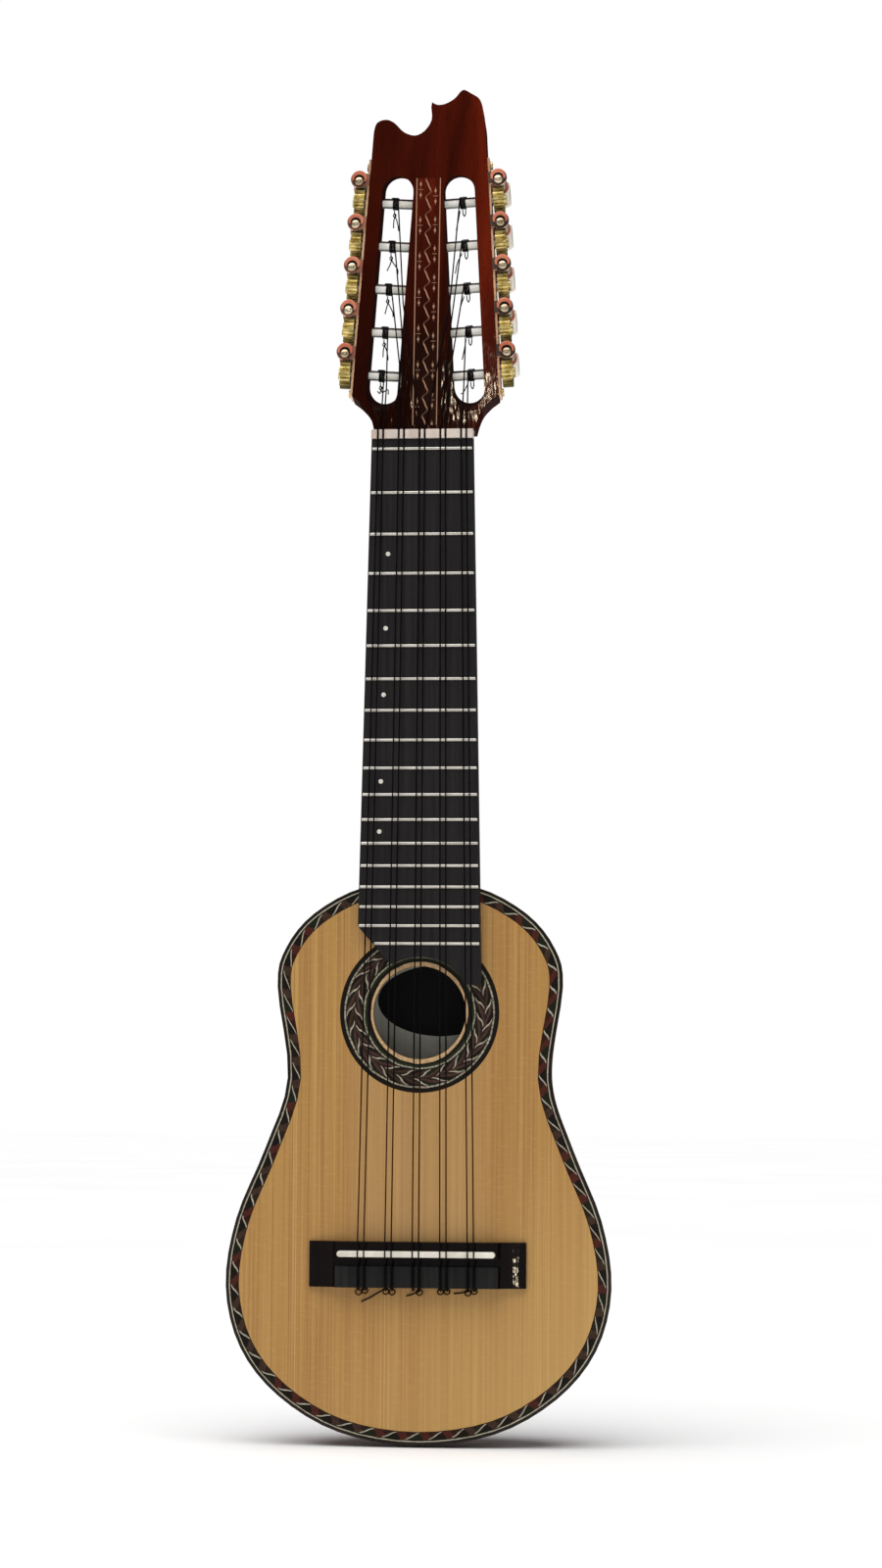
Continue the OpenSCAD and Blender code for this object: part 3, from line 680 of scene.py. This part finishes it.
def rosette_finish():
    """Rings of dyed wood round the soundhole, with two rows of slanted pieces between them."""
    f = Finish("rosette_rings", Coat_Weight=0.03, Coat_Roughness=0.3, Specular_IOR_Level=0.1)
    u, v, _ = f.axes(f.coords("UV"))
    radius = v * (ROSETTE_R - HOLE_R) + HOLE_R + wander(f)
    outer_level = (radius - ROW_OUTER_R) * (-1 / ROW_W)
    inner_level = (radius - ROW_INNER_R) * (1 / ROW_W)
    leaves = {"pieces": ROSETTE_PIECES, "slant": -0.85, "red": ROSE, "wave": 0.09, "stroke_w": 0.13}
    outer_row = rope_row(f, u, outer_level, **leaves)
    inner_row = rope_row(f, u + 0.012, inner_level, **leaves)
    dash = (u * 90 + f.chance((u * 90).whole()) * 0.4).part().over(0.12)
    pale = f.mix(dash, BROWN, f.mix(f.chance((u * 60).whole()) * 0.5, CREAM, BROWN))
    colour = BLACK
    for edge, ring in ((34.9, pale), (34.1, BLACK), (ROW_OUTER_R, outer_row), (ROW_MIDDLE_R, inner_row),
                       (ROW_INNER_R, BLACK), (26.1, pale), (25.4, GREEN), (24.4, BLACK)):
        colour = f.mix(radius.under(edge), colour, ring)
    hole_edge = radius - (u * (4 * math.pi)).math("COSINE") * 0.5
    colour = f.mix(hole_edge.under(23.0), colour, rgb(206, 170, 126))
    return inlay_grain(f, colour)


def strip_finish():
    """Dark strip with two pale lines, a vine down the middle and small crosses between dots."""
    f = Finish("head_strip", Coat_Weight=0.06, Coat_Roughness=0.08, Specular_IOR_Level=0.0)
    u, v, _ = f.axes(f.coords("UV"))
    along = u * (STRIP_TOP - STRIP_BOTTOM)
    x = (v - 0.5) * STRIP_W
    line_x = 5.6
    vine_start = 5.9
    vine_pitch = 9
    lines = (x.size() - line_x).size().under(0.24)
    turn = (along - vine_start) * (2 * math.pi / vine_pitch)
    sway = (turn + turn.math("SINE") * 0.6).math("SINE") * 1.2
    vine = (x - sway).size().under(0.34) * f.grade(turn.math("COSINE"), -0.2, 0.5, 1, 0.3)

    def motif(middle, spacing, shift):
        place = ((along + shift) * (1 / spacing)).part() * spacing - spacing / 2
        aside = (x - middle).size()
        bar = aside.under(1.05) * place.size().under(0.22) * 0.6
        beyond = place.size() - 2.7
        tail = aside.under(0.16) * beyond.size().under(1.8) * 0.5
        dot = ((aside * aside) + beyond * beyond * 0.35).under(0.26)
        return bar.also(tail).also(dot)

    marks = lines.also(vine).also(motif(-3.7, 17.9, 0)).also(motif(3.4, 14.4, 9.4))
    grain = f.noise(f.coords(scale=(300, 300, 12)), 1, detail=4)
    wood = f.ramp(grain, (0.3, rgb(62, 18, 9)), (0.7, rgb(92, 28, 15)))
    # The strip is darker towards the nut.
    darker_towards_nut = f.mix(f.grade(along, 40, 118, 0.9, 0.05), wood, rgb(16, 6, 4))
    colour = f.mix(marks * 0.62, darker_towards_nut, rgb(196, 152, 124))
    f.bump(grain, 0.05, 0.04)
    return f.set(Base_Color=colour, Roughness=f.grade(grain, 0.3, 0.7, 0.3, 0.4))


def string_finish():
    """Black nylon, painted brown between the rosette and the bridge: painted shadow of the strings on
    the cedar.
    """
    f = Finish("black_nylon", Specular_IOR_Level=0.06)
    tone = f.noise(f.coords(scale=(300, 300, 300)), 1)
    z = f.axes(f.coords())[2]
    # Painted shadow: brown over the soundboard, from below the rosette to the bridge.
    worn = f.grade(z, SHADOW_BROWN_HIGH_Z * MM, SHADOW_BROWN_FULL_Z * MM, 0, 0.9)
    painted_shadow_brown = worn * z.over(BRIDGE_HIGH_Z * MM)
    black = f.ramp(tone, (0.3, rgb(4, 3, 3)), (0.7, rgb(12, 9, 9)))
    return f.set(Base_Color=f.mix(painted_shadow_brown, black, rgb(54, 24, 5)),
                 Roughness=f.grade(tone, 0.3, 0.7, 0.35, 0.5))


def label_finish():
    """Dark paper with faint fibres."""
    f = Finish("dark_paper", Specular_IOR_Level=0.1)
    fibre = f.noise(f.coords(scale=(700, 700, 700)), 1, detail=5, roughness=0.7)
    f.bump(fibre, 0.1, 0.05)
    return f.set(Base_Color=f.ramp(fibre, (0.3, rgb(9, 9, 12)), (0.7, rgb(20, 19, 24))),
                 Roughness=f.grade(fibre, 0.3, 0.7, 0.45, 0.6))


def floor_finish():
    """Nearly white floor."""
    f = Finish("studio_floor", Roughness=0.85)
    tone = f.noise(f.coords(scale=(2, 2, 2)), 1)
    return f.set(Base_Color=f.ramp(tone, (0.3, rgb(246, 246, 246)), (0.7, rgb(250, 250, 250))))


def studio():
    """The camera, a pale floor and soft light."""
    scene = bpy.context.scene
    scene.view_settings.view_transform = "Standard"
    bpy.ops.object.camera_add(location=EYE, rotation=[math.radians(a) for a in CAMERA_TURN])
    scene.camera = bpy.context.object
    scene.camera.data.lens = CAMERA_LENS
    scene.camera.data.sensor_width = 36
    bpy.ops.mesh.primitive_plane_add(size=30, location=(0, 0, FLOOR_Z * MM))
    floor = bpy.context.object
    floor.name = "floor"
    at_origin(floor)
    floor.data.materials.append(floor_finish())
    world = scene.world or bpy.data.worlds.new("world")
    scene.world = world
    world.use_nodes = True
    nodes = world.node_tree.nodes
    links = world.node_tree.links
    sky = nodes["Background"]
    sky.inputs["Color"].default_value = (1, 1, 1, 1)
    path = nodes.new("ShaderNodeLightPath")
    strength = nodes.new("ShaderNodeMapRange")
    strength.inputs["To Min"].default_value = 0.12
    strength.inputs["To Max"].default_value = 1.0
    links.new(path.outputs["Is Camera Ray"], strength.inputs["Value"])
    links.new(strength.outputs[0], sky.inputs["Strength"])
    bpy.ops.object.light_add(type="SUN", rotation=(math.radians(17), 0, math.radians(-30)))
    sun = bpy.context.object.data
    sun.energy = 3.3
    sun.angle = math.radians(75)
    for name, place, size, power in (
            ("window_light", (-1.5, -2.1, 0.5), 1.5, 2),
            ("lamp_light", (1.5, -1.3, 0.75), 0.7, 3),
            ("head_glint", (-0.115, -1.835, 0.818), 0.013, 0.7),
            ("bridge_glint", (0.141, -0.749, -0.419), 0.01, 0.12)):
        bpy.ops.object.light_add(type="AREA", location=place)
        light = bpy.context.object
        light.name = name
        light.data.size = size
        light.data.energy = power
        light.data.color = (1, 0.86, 0.62) if "glint" in name else (1, 1, 1)
        light.visible_camera = False
        aim = Vector((0, 0, -0.18)) - Vector(place)
        light.rotation_euler = aim.to_track_quat("-Z", "Y").to_euler()
    aim = Vector((0, 0.03, HOLE_Z * MM)) - EYE
    bpy.ops.object.light_add(type="SPOT", location=EYE, rotation=aim.to_track_quat("-Z", "Y").to_euler())
    lamp = bpy.context.object
    lamp.name = "hole_lamp"
    lamp.data.energy = 11.5
    lamp.data.spot_size = math.radians(1.6)
    lamp.data.spot_blend = 0.6
    lamp.data.shadow_soft_size = 0.02
    lamp.visible_camera = False


def body():
    """The bowl, the binding, the inlaid border and rosette, the soundboard and the label."""
    half = curved(BODY_SIDE, CURVE_STEPS)
    outline = half + [Vector((-p[0], p[1])) for p in reversed(half[:-1])]
    outline = [Vector((p[0], p[1] + JOINT_Z)) for p in outline]
    shell = rounded("body_bowl", "bowl")
    for vertex in shell.data.vertices:
        vertex.co.y = min(vertex.co.y, cad_box[1][1])
    fitted(shell, FINISH["bowl"], nodes=["body_bowl"])
    # The bowl's inside faces get the inside wood, painted far paler than it is as painted light.
    shell.data.materials.append(FINISH["inside"])
    middle = Vector((0, 14, JOINT_Z - 125)) * MM
    for face in shell.data.polygons:
        face.material_index = int(face.normal.dot(middle - face.center) > 0)
    edge = eased("edge_binding", "binding", 0.35, 3)
    fitted(edge, FINISH["binding"], nodes=["edge_binding"])
    outer, inner = (evenly(inset(outline, d), BORDER_STEPS) for d in (BINDING_W, BINDING_W + PURFLING_W))

    def border(u, v):
        i = round(u * BORDER_STEPS) % BORDER_STEPS
        place = outer[i].lerp(inner[i], v)
        return place[0], TOP_Y, place[1]

    rope = inlaid("purfling", BORDER_STEPS, 4, border)
    fitted(rope, FINISH["purfling"], nodes=["edge_purfling"])

    def ring(u, v):
        r = HOLE_R + v * (ROSETTE_R - HOLE_R)
        a = 2 * math.pi * u
        return r * math.sin(a), TOP_Y, HOLE_Z + r * math.cos(a)

    rosette = inlaid("rosette_ring", 144, 6, ring)
    fitted(rosette, FINISH["rosette"], nodes=["rosette"])
    dressed("soundboard", FINISH["cedar"])
    # The braces get the same inside wood, painted pale as painted light.
    dressed("soundboard_braces", FINISH["inside"])
    label(shell)


def inlaid(name, columns, rows, place):
    """A closed strip as a sheet, with its face on the soundboard's face and its back in its recess."""
    piece = strip(name, columns, rows, place, closed=True)
    modified(piece, "SOLIDIFY", thickness=INLAY_SHEET * MM, offset=-1)
    outwards(piece)
    front = min(v.co.y for v in piece.data.vertices)
    if front < (TOP_Y - 0.1) * MM:
        for vertex in piece.data.vertices:
            vertex.co.y = 2 * TOP_Y * MM - vertex.co.y
        outwards(piece)
    return piece


def label(shell):
    """Oval paper label, pressed on the curved inside of the back."""
    bpy.ops.object.select_all(action="DESELECT")
    bpy.ops.mesh.primitive_circle_add(vertices=64, radius=1, fill_type="NGON",
                                      rotation=(math.pi / 2, 0, 0))
    piece = bpy.context.object
    piece.name = "label"
    edit(piece, "FACE")
    for _ in range(5):
        bpy.ops.mesh.inset(thickness=0.18)
    done()
    piece.scale = (LABEL_HALF_W * MM, LABEL_HALF_H * MM, 1)
    piece.location = Vector(LABEL_MIDDLE) * MM
    at_origin(piece)
    run_up = 0.04
    gap = 0.35
    paper = 0.15
    for vertex in piece.data.vertices:
        ray = (vertex.co - EYE).normalized()
        _, place, _, _ = shell.ray_cast(vertex.co - ray * run_up, ray)
        vertex.co = place - ray * gap * MM
    modified(piece, "SOLIDIFY", thickness=paper * MM, offset=0)
    outwards(piece)
    smooth(piece, 60)
    fitted(piece, FINISH["label"])


def neck_and_board():
    """The neck, the fretboard with its frets and dots, and the nut."""
    fitted(rounded("neck", "neck_shaft"), FINISH["red_wood"], nodes=["neck"])
    fitted(eased("fretboard", "fingerboard", 0.3), FINISH["ebony"], nodes=["fretboard"])
    wires = solid_copy("frets", "fret_wires")
    edit(wires, "EDGE", "DESELECT")
    pick_edges(wires, lambda a, b: abs(a.x - b.x) < 0.01 and (a - b).length < 0.4)
    bpy.ops.mesh.bevel(offset=0.35 * MM, segments=3, affect="EDGES")
    done()
    smooth(wires, 40)
    fitted(wires, FINISH["nickel"], nodes=["frets"])
    dressed("position_dots", FINISH["dot"])
    fitted(eased("nut", "nut_bone", 0.25), FINISH["nut"], nodes=["nut"])


def head():
    """The head with its inlaid strip, and the tuners' plates and screws."""
    block = fitted(eased("headstock", "head", 0.6, 3), FINISH["head"], nodes=["headstock"])
    # The head's sides and eased edges get a darker copy of its wood: painted shade.
    block.data.materials.append(FINISH["head_edge_shade"])
    for face in block.data.polygons:
        face.material_index = int(abs(face.normal.dot(HEAD_BACK)) < 0.93)

    def inlay(u, v):
        return head_point((v - 0.5) * (STRIP_W - 0.04), STRIP_BOTTOM + 0.02
                          + u * (STRIP_TOP - STRIP_BOTTOM - 0.04), 0)

    piece = strip("head_strip", 61, 6, inlay, closed=False)
    modified(piece, "SOLIDIFY", thickness=STRIP_T * MM, offset=1)
    outwards(piece)
    fitted(piece, FINISH["strip"], nodes=["head_inlay"])
    ear_depth = -0.45
    back_depth = 11.7
    for side in SIDES:
        node = f"tuner_plate_{side}"
        plate = fitted(eased(node, f"plate_{side}", 0.2), FINISH["plate"], nodes=[node])
        plate.data.materials.append(FINISH["copper"])
        # Ear fronts get painted shade: dark on the right, a shaded coral brown on the left.
        plate.data.materials.append(FINISH["ear_brown_shade" if side == "left" else "ear_shade"])
        for face in plate.data.polygons:
            depth = (face.center / MM - head_point(0, 0, 0)).dot(HEAD_BACK)
            face.material_index = 2 if depth < ear_depth else int(depth > back_depth)
    fitted(eased("plate_screws", "screws", 0.15), FINISH["gilt"], nodes=["plate_screws"])


def bridge():
    """The bridge with its saddle and the tied strings."""
    block = eased("bridge", "bridge_block", 0.5, 3)
    fitted(block, FINISH["bridge"], nodes=["bridge"])
    # The tie block's top gets a lighter grey ebony: a painted sheen.
    block.data.materials.append(FINISH["tie"])
    for face in block.data.polygons:
        x, y, z = face.center / MM
        face.material_index = int(abs(x) < TIE_HALF_W and y < TOP_Y - TIE_H + 1 and z < TIE_EDGE_Z)
    fitted(eased("saddle", "saddle_bone", 0.6, 3), FINISH["saddle"], nodes=["saddle"])
    ties()


def ties():
    """Each string doubled back over the tie block and twisted, with rings and loose ends behind it."""
    top = TOP_Y - TIE_H
    twist_r = 0.5
    steps = 20
    paths = []
    for k in range(STRING_COUNT):
        x = string_x(k, COURSE_BRIDGE, PAIR_BRIDGE)
        for lane in (0, math.pi):
            path = []
            for i in range(steps + 1):
                turn = lane + 0.9 * k + 2.2 * 2 * math.pi * i / steps
                y = top - twist_r - STRING_R + twist_r * math.sin(turn)
                z = TIE_HIGH_Z + (TIE_LOW_Z - TIE_HIGH_Z) * i / steps
                path.append((x + twist_r * math.cos(turn), y, z))
            path.append((x + 0.5 * math.cos(lane), top + 0.4, TIE_LOW_Z - 0.65))
            path.append((x + 0.4 * math.cos(lane), -7.2, TIE_LOW_Z - 0.7))
            paths.append(path)
        if k != BARE_STRING:
            ring_z = TIE_LOW_Z - 1.6 - 0.4 * math.cos(2.4 * k)
            turns = [2 * math.pi * i / steps for i in range(steps + 1)]
            paths.append([(x - 0.4 + RING_R * math.sin(a), -5.7 + 0.3 * math.cos(a),
                           ring_z + RING_R * math.cos(a)) for a in turns])
    lying = TOP_Y - STRING_R
    for x0, z0, x1, z1 in LOOSE_TAILS:
        paths.append([(x0, lying - 1.6, z0), ((2 * x0 + x1) / 3, lying - 0.5, (2 * z0 + z1) / 3 - 0.2),
                      ((x0 + 2 * x1) / 3, lying, (z0 + 2 * z1) / 3 - 0.3), (x1, lying, z1)])
    fitted(wire("bridge_ties", paths), FINISH["string"])


def side_matrix(side, k):
    """A tuner's frame: x along its roller, y along its worm, with its origin on the roller's axis."""
    joints = {joint["name"]: joint for joint in frame["joints"]}
    roller = joints[f"{side}_roller_turn_{k}"]
    x = Vector(roller["axis"]).normalized()
    y = Vector(joints[f"{side}_worm_turn_{k}"]["axis"]).normalized()
    z = x.cross(y)
    matrix = Matrix((x, y, z)).transposed().to_4x4()
    matrix.translation = Vector(roller["pos_m"])
    return matrix


def around_axis(piece, matrix):
    """Lays the UV map round a roller's axis, as distances in mm to the front and up."""
    layer = piece.data.uv_layers.active or piece.data.uv_layers.new(name="around")
    inverse = matrix.inverted()
    for loop in piece.data.loops:
        place = inverse @ piece.data.vertices[loop.vertex_index].co / MM
        layer.data[loop.index].uv = (-place.y, place.z)


def roller_bar():
    """Roller of the right-hand side, lying along x, with the stub that carries its gear."""
    bpy.ops.object.select_all(action="DESELECT")
    bpy.ops.mesh.primitive_cylinder_add(vertices=40, radius=ROLLER_R * MM,
                                        depth=(ROLLER_IN + STUB_OUT) * MM,
                                        location=((STUB_OUT - ROLLER_IN) / 2 * MM, 0, 0),
                                        rotation=(0, math.pi / 2, 0))
    piece = bpy.context.object
    at_origin(piece)
    edit(piece, "FACE")
    pick_faces(piece, lambda middle, normal: normal.x > 0.9)
    stub_r = 1.75
    stub_length = 5
    bpy.ops.mesh.inset(thickness=(ROLLER_R - stub_r) * MM)
    bpy.ops.mesh.extrude_region_move(TRANSFORM_OT_translate={"value": (stub_length * MM, 0, 0)})
    pick_faces(piece, lambda middle, normal: normal.x < -0.9)
    bpy.ops.mesh.bevel(offset=0.3 * MM, segments=2, affect="EDGES")
    done()
    smooth(piece)
    around_axis(piece, Matrix())
    return piece


def winding():
    """The string's turns on a right-hand roller."""
    loops = 4
    steps = 24
    pitch = 0.7
    start = math.radians(40)
    path = []
    for i in range(steps * loops + 1):
        a = 2 * math.pi * i / steps
        path.append((WINDING_X + pitch * i / steps, -WINDING_R * math.sin(a + start),
                     WINDING_R * math.cos(a + start)))
    tip = Vector(path[-1])
    before = Vector(path[-2])
    path.append(tuple(tip + (tip - before).normalized() * 0.7 + Vector((0.3, 0, 0))))
    return wire("winding", [path], resolution=1)


def ear_ring():
    """Washer on the front of a plate's ear, thicker above its hole, with its back at y = 0."""
    bpy.ops.object.select_all(action="DESELECT")
    bpy.ops.mesh.primitive_circle_add(vertices=40, radius=EAR_RING_R * MM, rotation=(math.pi / 2, 0, 0),
                                      location=(0, 0, EAR_RING_Z * MM))
    piece = bpy.context.object
    at_origin(piece)
    edit(piece)
    hole_share = 0.68
    hole_drop = 0.9
    thickness = 0.7
    bpy.ops.mesh.extrude_edges_move()
    bpy.ops.transform.resize(value=(hole_share, 1, hole_share), center_override=(0, 0, EAR_RING_Z * MM))
    bpy.ops.transform.translate(value=(0, 0, -hole_drop * MM))
    bpy.ops.mesh.select_all(action="SELECT")
    bpy.ops.mesh.normals_make_consistent(inside=False)
    done()
    modified(piece, "SOLIDIFY", thickness=thickness * MM, offset=-1)
    if min(v.co.y for v in piece.data.vertices) > -0.1 * MM:
        for vertex in piece.data.vertices:
            vertex.co.y = -vertex.co.y
    outwards(piece)
    modified(piece, "BEVEL", width=0.22 * MM, segments=3, limit_method="ANGLE",
             angle_limit=math.radians(50))
    smooth(piece, 60)
    return piece


def ear_disc(radius, back, rises, place_z):
    """Small disc in front of an ear: its front is drawn in and raised by each step of (inset, rise)."""
    depth = 0.04
    bpy.ops.object.select_all(action="DESELECT")
    bpy.ops.mesh.primitive_cylinder_add(vertices=32, radius=radius * MM, depth=depth * MM,
                                        location=(0, (back - depth / 2) * MM, place_z * MM),
                                        rotation=(math.pi / 2, 0, 0))
    piece = bpy.context.object
    at_origin(piece)
    edit(piece, "FACE")
    pick_faces(piece, lambda middle, normal: normal.y < -0.9)
    for drawn_in, rise in rises:
        bpy.ops.mesh.inset(thickness=drawn_in * MM)
        bpy.ops.transform.translate(value=(0, -rise * MM, 0))
    done()
    smooth(piece, 60)
    return piece


def loose_ends(sign, k):
    """Routes of a string's loose ends below its roller, in the roller's frame.

    The first and last point of each route only set its directions there.
    """
    low = -13.5 if k > 1 else -9
    bend = 0.8 * math.sin(2.1 * k)
    if sign < 0:
        knot = [(-12.5 + 0.65 * math.cos(a), -1.0 + 0.25 * a / math.pi, -6.0 + 0.75 * math.sin(a))
                for a in (math.pi * i / 3 for i in range(1, 11))]
        return [[(-12.3, -1, 1), (-12.3, -1, -3.7), (-12.4, -1, -5.2), *knot, (-13.6, -0.6, -8.2),
                 (-15.2 - bend, -0.4, low + 2.4), (-15.6 - bend, -0.4, low),
                 (-15.7 - bend, -0.4, low - 2)],
                [(-12.8, 0.6, -3), (-12.7, 0.4, -5.2), (-12.2, 0.4, -8.4),
                 (-11.6 + bend, 0.3, low + 1.5), (-11.3 + bend, 0.3, low - 1)]]
    return [[(-11.6, -1, 1), (-11.6, -1, -3.7), (-11.7, -1.1, -5.8), (-12.3, -1.2, -7.1),
             (-12.9, -1.1, -5.9), (-13, -1, -3.8), (-13, -1, 1)],
            [(-14.2, 0.4, -2), (-14.4, 0.3, -3.7), (-16 - bend, 0.2, -8), (-17.3 - bend, 0, low),
             (-17.8 - bend, 0, low - 2)]]


def tuners():
    """Ten tuners, each with roller, winding, gear, worm, knob, ear trim and loose string ends."""
    bar = roller_bar()
    turns = winding()
    ring = ear_ring()
    # A dark disc behind the cap: a painted shadow in the ear's hole.
    shade_disc = ear_disc(2.5, -0.51, [(0.3, 0.01)], -0.4)
    cap = ear_disc(2.1, -0.55, [(0.06, 0.4), (0.3, 0.28), (0.45, 0.22), (0.5, 0.1), (0.3, 0.02)], -1.3)
    shade_z = -1.1
    for side, sign in SIDES.items():
        mirror = Matrix.Scale(sign, 4, (1, 0, 0))
        for k in TUNERS:
            matrix = side_matrix(side, k)
            tag = f"{side}_{k}"
            roller_body = f"{side}_roller_{k}"
            worm_body = f"{side}_worm_{k}"
            rod = placed(bar, f"roller_bar_{tag}", matrix @ mirror)
            outwards(rod)
            fitted(rod, FINISH["roller"], roller_body, [f"roller_{tag}"])
            wound = placed(turns, f"winding_{tag}", matrix @ mirror)
            outwards(wound)
            fitted(wound, FINISH["string"], roller_body, [f"roller_{tag}"])
            wheel = eased(f"gear_{tag}", f"wheel_{tag}", 0.12)
            around_axis(wheel, matrix)
            fitted(wheel, FINISH["gear"], roller_body, [f"gear_{tag}"])
            screw = solid_copy(f"worm_{tag}", f"worm_shaft_{tag}")
            smooth(screw, 40)
            fitted(screw, FINISH["steel"], worm_body, [f"worm_{tag}"])
            knob = eased(f"button_{tag}", f"knob_{tag}", 0.7, 4, angle=25, smooth_angle=50)
            fitted(knob, FINISH["pearl"], worm_body, [f"button_{tag}"])
            place = Matrix.Translation(Vector((sign * WORM_X, EAR_FRONT, WORM_Z)) * MM)
            # The washer's coral copper is partly painted reflection of warm light on a polished ear;
            # below shade_z it gets painted shade.
            washer = fitted(placed(ring, f"ear_ring_{tag}", matrix @ place), FINISH["copper"])
            washer.data.materials.append(FINISH["ear_shade"])
            for face, model in zip(washer.data.polygons, ring.data.polygons):
                face.material_index = int(model.center.z < shade_z * MM)
            # The dark disc, a painted shadow in the ear's hole.
            fitted(placed(shade_disc, f"ear_shade_disc_{tag}", matrix @ place), FINISH["string"])
            fitted(placed(cap, f"ear_cap_{tag}", matrix @ place), FINISH["cap"])
            loose = [[matrix @ (Vector((sign * x, y, z)) * MM) / MM for x, y, z in curved(path, 5)]
                     for path in loose_ends(sign, k)]
            fitted(wire(f"loose_ends_{tag}", loose, 0.28, 1), FINISH["string"])
    for piece in (bar, turns, ring, shade_disc, cap):
        bpy.data.objects.remove(piece)


def string_x(k, course, pair):
    """Where string k lies, with courses and the two strings of a pair this far apart."""
    return (k // 2 - 2) * course + (k % 2 - 0.5) * pair


def strings():
    """Ten strings, from the tie block over the saddle, zero fret and nut to their rollers."""
    paths = []
    for k in range(STRING_COUNT):
        left = k < STRING_COUNT / 2
        side = -1 if left else 1
        t = k if left else STRING_COUNT - 1 - k
        x_bridge = string_x(k, COURSE_BRIDGE, PAIR_BRIDGE)
        x_nut = string_x(k, COURSE_NUT, PAIR_NUT)
        x_fret = x_nut + (x_bridge - x_nut) * NUT_HIGH_Z / SCALE_LENGTH
        rise = FIRST_ROLLER + TUNER_PITCH * t
        roller_s = SHOULDER_S + rise * math.cos(RAIL_ANGLE) + WINDING_X * math.sin(RAIL_ANGLE)
        roller_x = SHOULDER_HALF - rise * math.sin(RAIL_ANGLE) + WINDING_X * math.cos(RAIL_ANGLE)
        bend_x, bend_s = EDGE_BENDS[t]
        paths.append([
            (x_bridge, TIE_HOLE_Y, TIE_HOLE_LOW_Z), (x_bridge, TIE_HOLE_Y, TIE_HOLE_HIGH_Z),
            (x_bridge, SADDLE_TOP_Y, SADDLE_LOW_Z), (x_bridge, SADDLE_TOP_Y, SADDLE_HIGH_Z),
            (x_fret, FRET_TOP - STRING_R - 0.02, 0),
            (x_nut, NUT_GROOVE_Y, NUT_LOW_Z), (x_nut, NUT_GROOVE_Y, NUT_HIGH_Z),
            head_point(side * bend_x, bend_s, -0.58),
            head_point(side * roller_x, roller_s + 0.4, GEAR_Y - WINDING_R - 2 * STRING_R - 0.15)])
    fitted(wire("string_set", paths), FINISH["string"], nodes=["strings"])


FINISH = {
    "cedar": cedar_finish(),
    # Inside wood painted far paler than it is: painted light inside the body.
    "inside": gloss_wood("inside_wood_painted_light", rgb(180, 180, 164), rgb(204, 204, 190), rgb(220, 220, 206),
                         coat=0.0),
    "bowl": gloss_wood("bowl_gloss", rgb(44, 16, 9), rgb(92, 36, 18), rgb(132, 62, 30),
                       ring=0.6, coat=0.5),
    "binding": gloss_wood("dark_binding", rgb(18, 13, 9), rgb(34, 26, 19), rgb(50, 38, 29),
                          coat=0.12, specular=0.1),
    "red_wood": gloss_wood("red_gloss", rgb(36, 10, 5), rgb(70, 21, 11), rgb(98, 33, 18),
                           coat=0.4, specular=0.2),
    "head": gloss_wood("head_gloss", rgb(36, 9, 4), rgb(82, 22, 9), rgb(110, 33, 15),
                       coat=0.1, specular=0.0, shade=0.8, foot=0.85, ripple=2.6),
    # Darker copy of the head's wood, painted shade for its sides and edges.
    "head_edge_shade": gloss_wood("head_edge_gloss", rgb(18, 5, 3), rgb(36, 10, 5), rgb(52, 15, 8),
                            coat=0.05, specular=0.0),
    "ebony": ebony_finish("board_ebony", rgb(25, 23, 24), rgb(41, 39, 39), 0.42),
    "bridge": ebony_finish("bridge_ebony", rgb(9, 5, 4), rgb(17, 9, 7), 0.2, 0.1, 0.02, 3),
    # Lighter grey ebony for the tie block's top, a painted sheen.
    "tie": ebony_finish("tie_ebony_painted_sheen", rgb(29, 29, 29), rgb(43, 43, 43), 0.4, 0.01, 0.02),
    # Frets, with painted shade at their foot.
    "nickel": metal_finish("fret_nickel", rgb(196, 192, 184), rgb(180, 175, 166), 0.32, (120, 900, 900),
                           foot_shade=0.85),
    "dot": bone_finish("dot_bone", rgb(214, 208, 194), rgb(236, 232, 222)),
    "nut": bone_finish("nut_bone", rgb(196, 180, 168), rgb(218, 206, 196)),
    "saddle": bone_finish("saddle_bone", rgb(210, 204, 190), rgb(232, 228, 216)),
    "string": string_finish(),
    "gilt": metal_finish("gilt_brass", rgb(226, 200, 132), rgb(102, 88, 42), 0.2, metal=0.7),
    "gear": gear_finish(),
    "plate": metal_finish("plate_gilt", rgb(226, 188, 160), rgb(188, 148, 120), 0.22, metal=0.7),
    # Coral copper; its coral is partly a painted warm reflection.
    "copper": metal_finish("ear_copper", rgb(212, 130, 100), rgb(184, 98, 72), 0.25, metal=0.3),
    "cap": metal_finish("cap_steel", rgb(214, 198, 170), rgb(160, 140, 112), 0.15, metal=0.8),
    "steel": metal_finish("shaft_steel", rgb(214, 208, 196), rgb(176, 168, 154), 0.22),
    "pearl": bone_finish("pearl_knob", rgb(228, 218, 200), rgb(250, 245, 234), 0.16),
    "roller": roller_finish(),
    # Painted shade for the ears: a dark one, and a shaded coral brown.
    "ear_shade": metal_finish("ear_shade", rgb(72, 46, 30), rgb(38, 24, 14), 0.4, metal=0.2),
    "ear_brown_shade": metal_finish("ear_brown_shade", rgb(152, 98, 76), rgb(114, 70, 52), 0.35, metal=0.3),
    "purfling": purfling_finish(),
    "rosette": rosette_finish(),
    "strip": strip_finish(),
    "label": label_finish(),
}

studio()
body()
neck_and_board()
head()
bridge()
tuners()
strings()
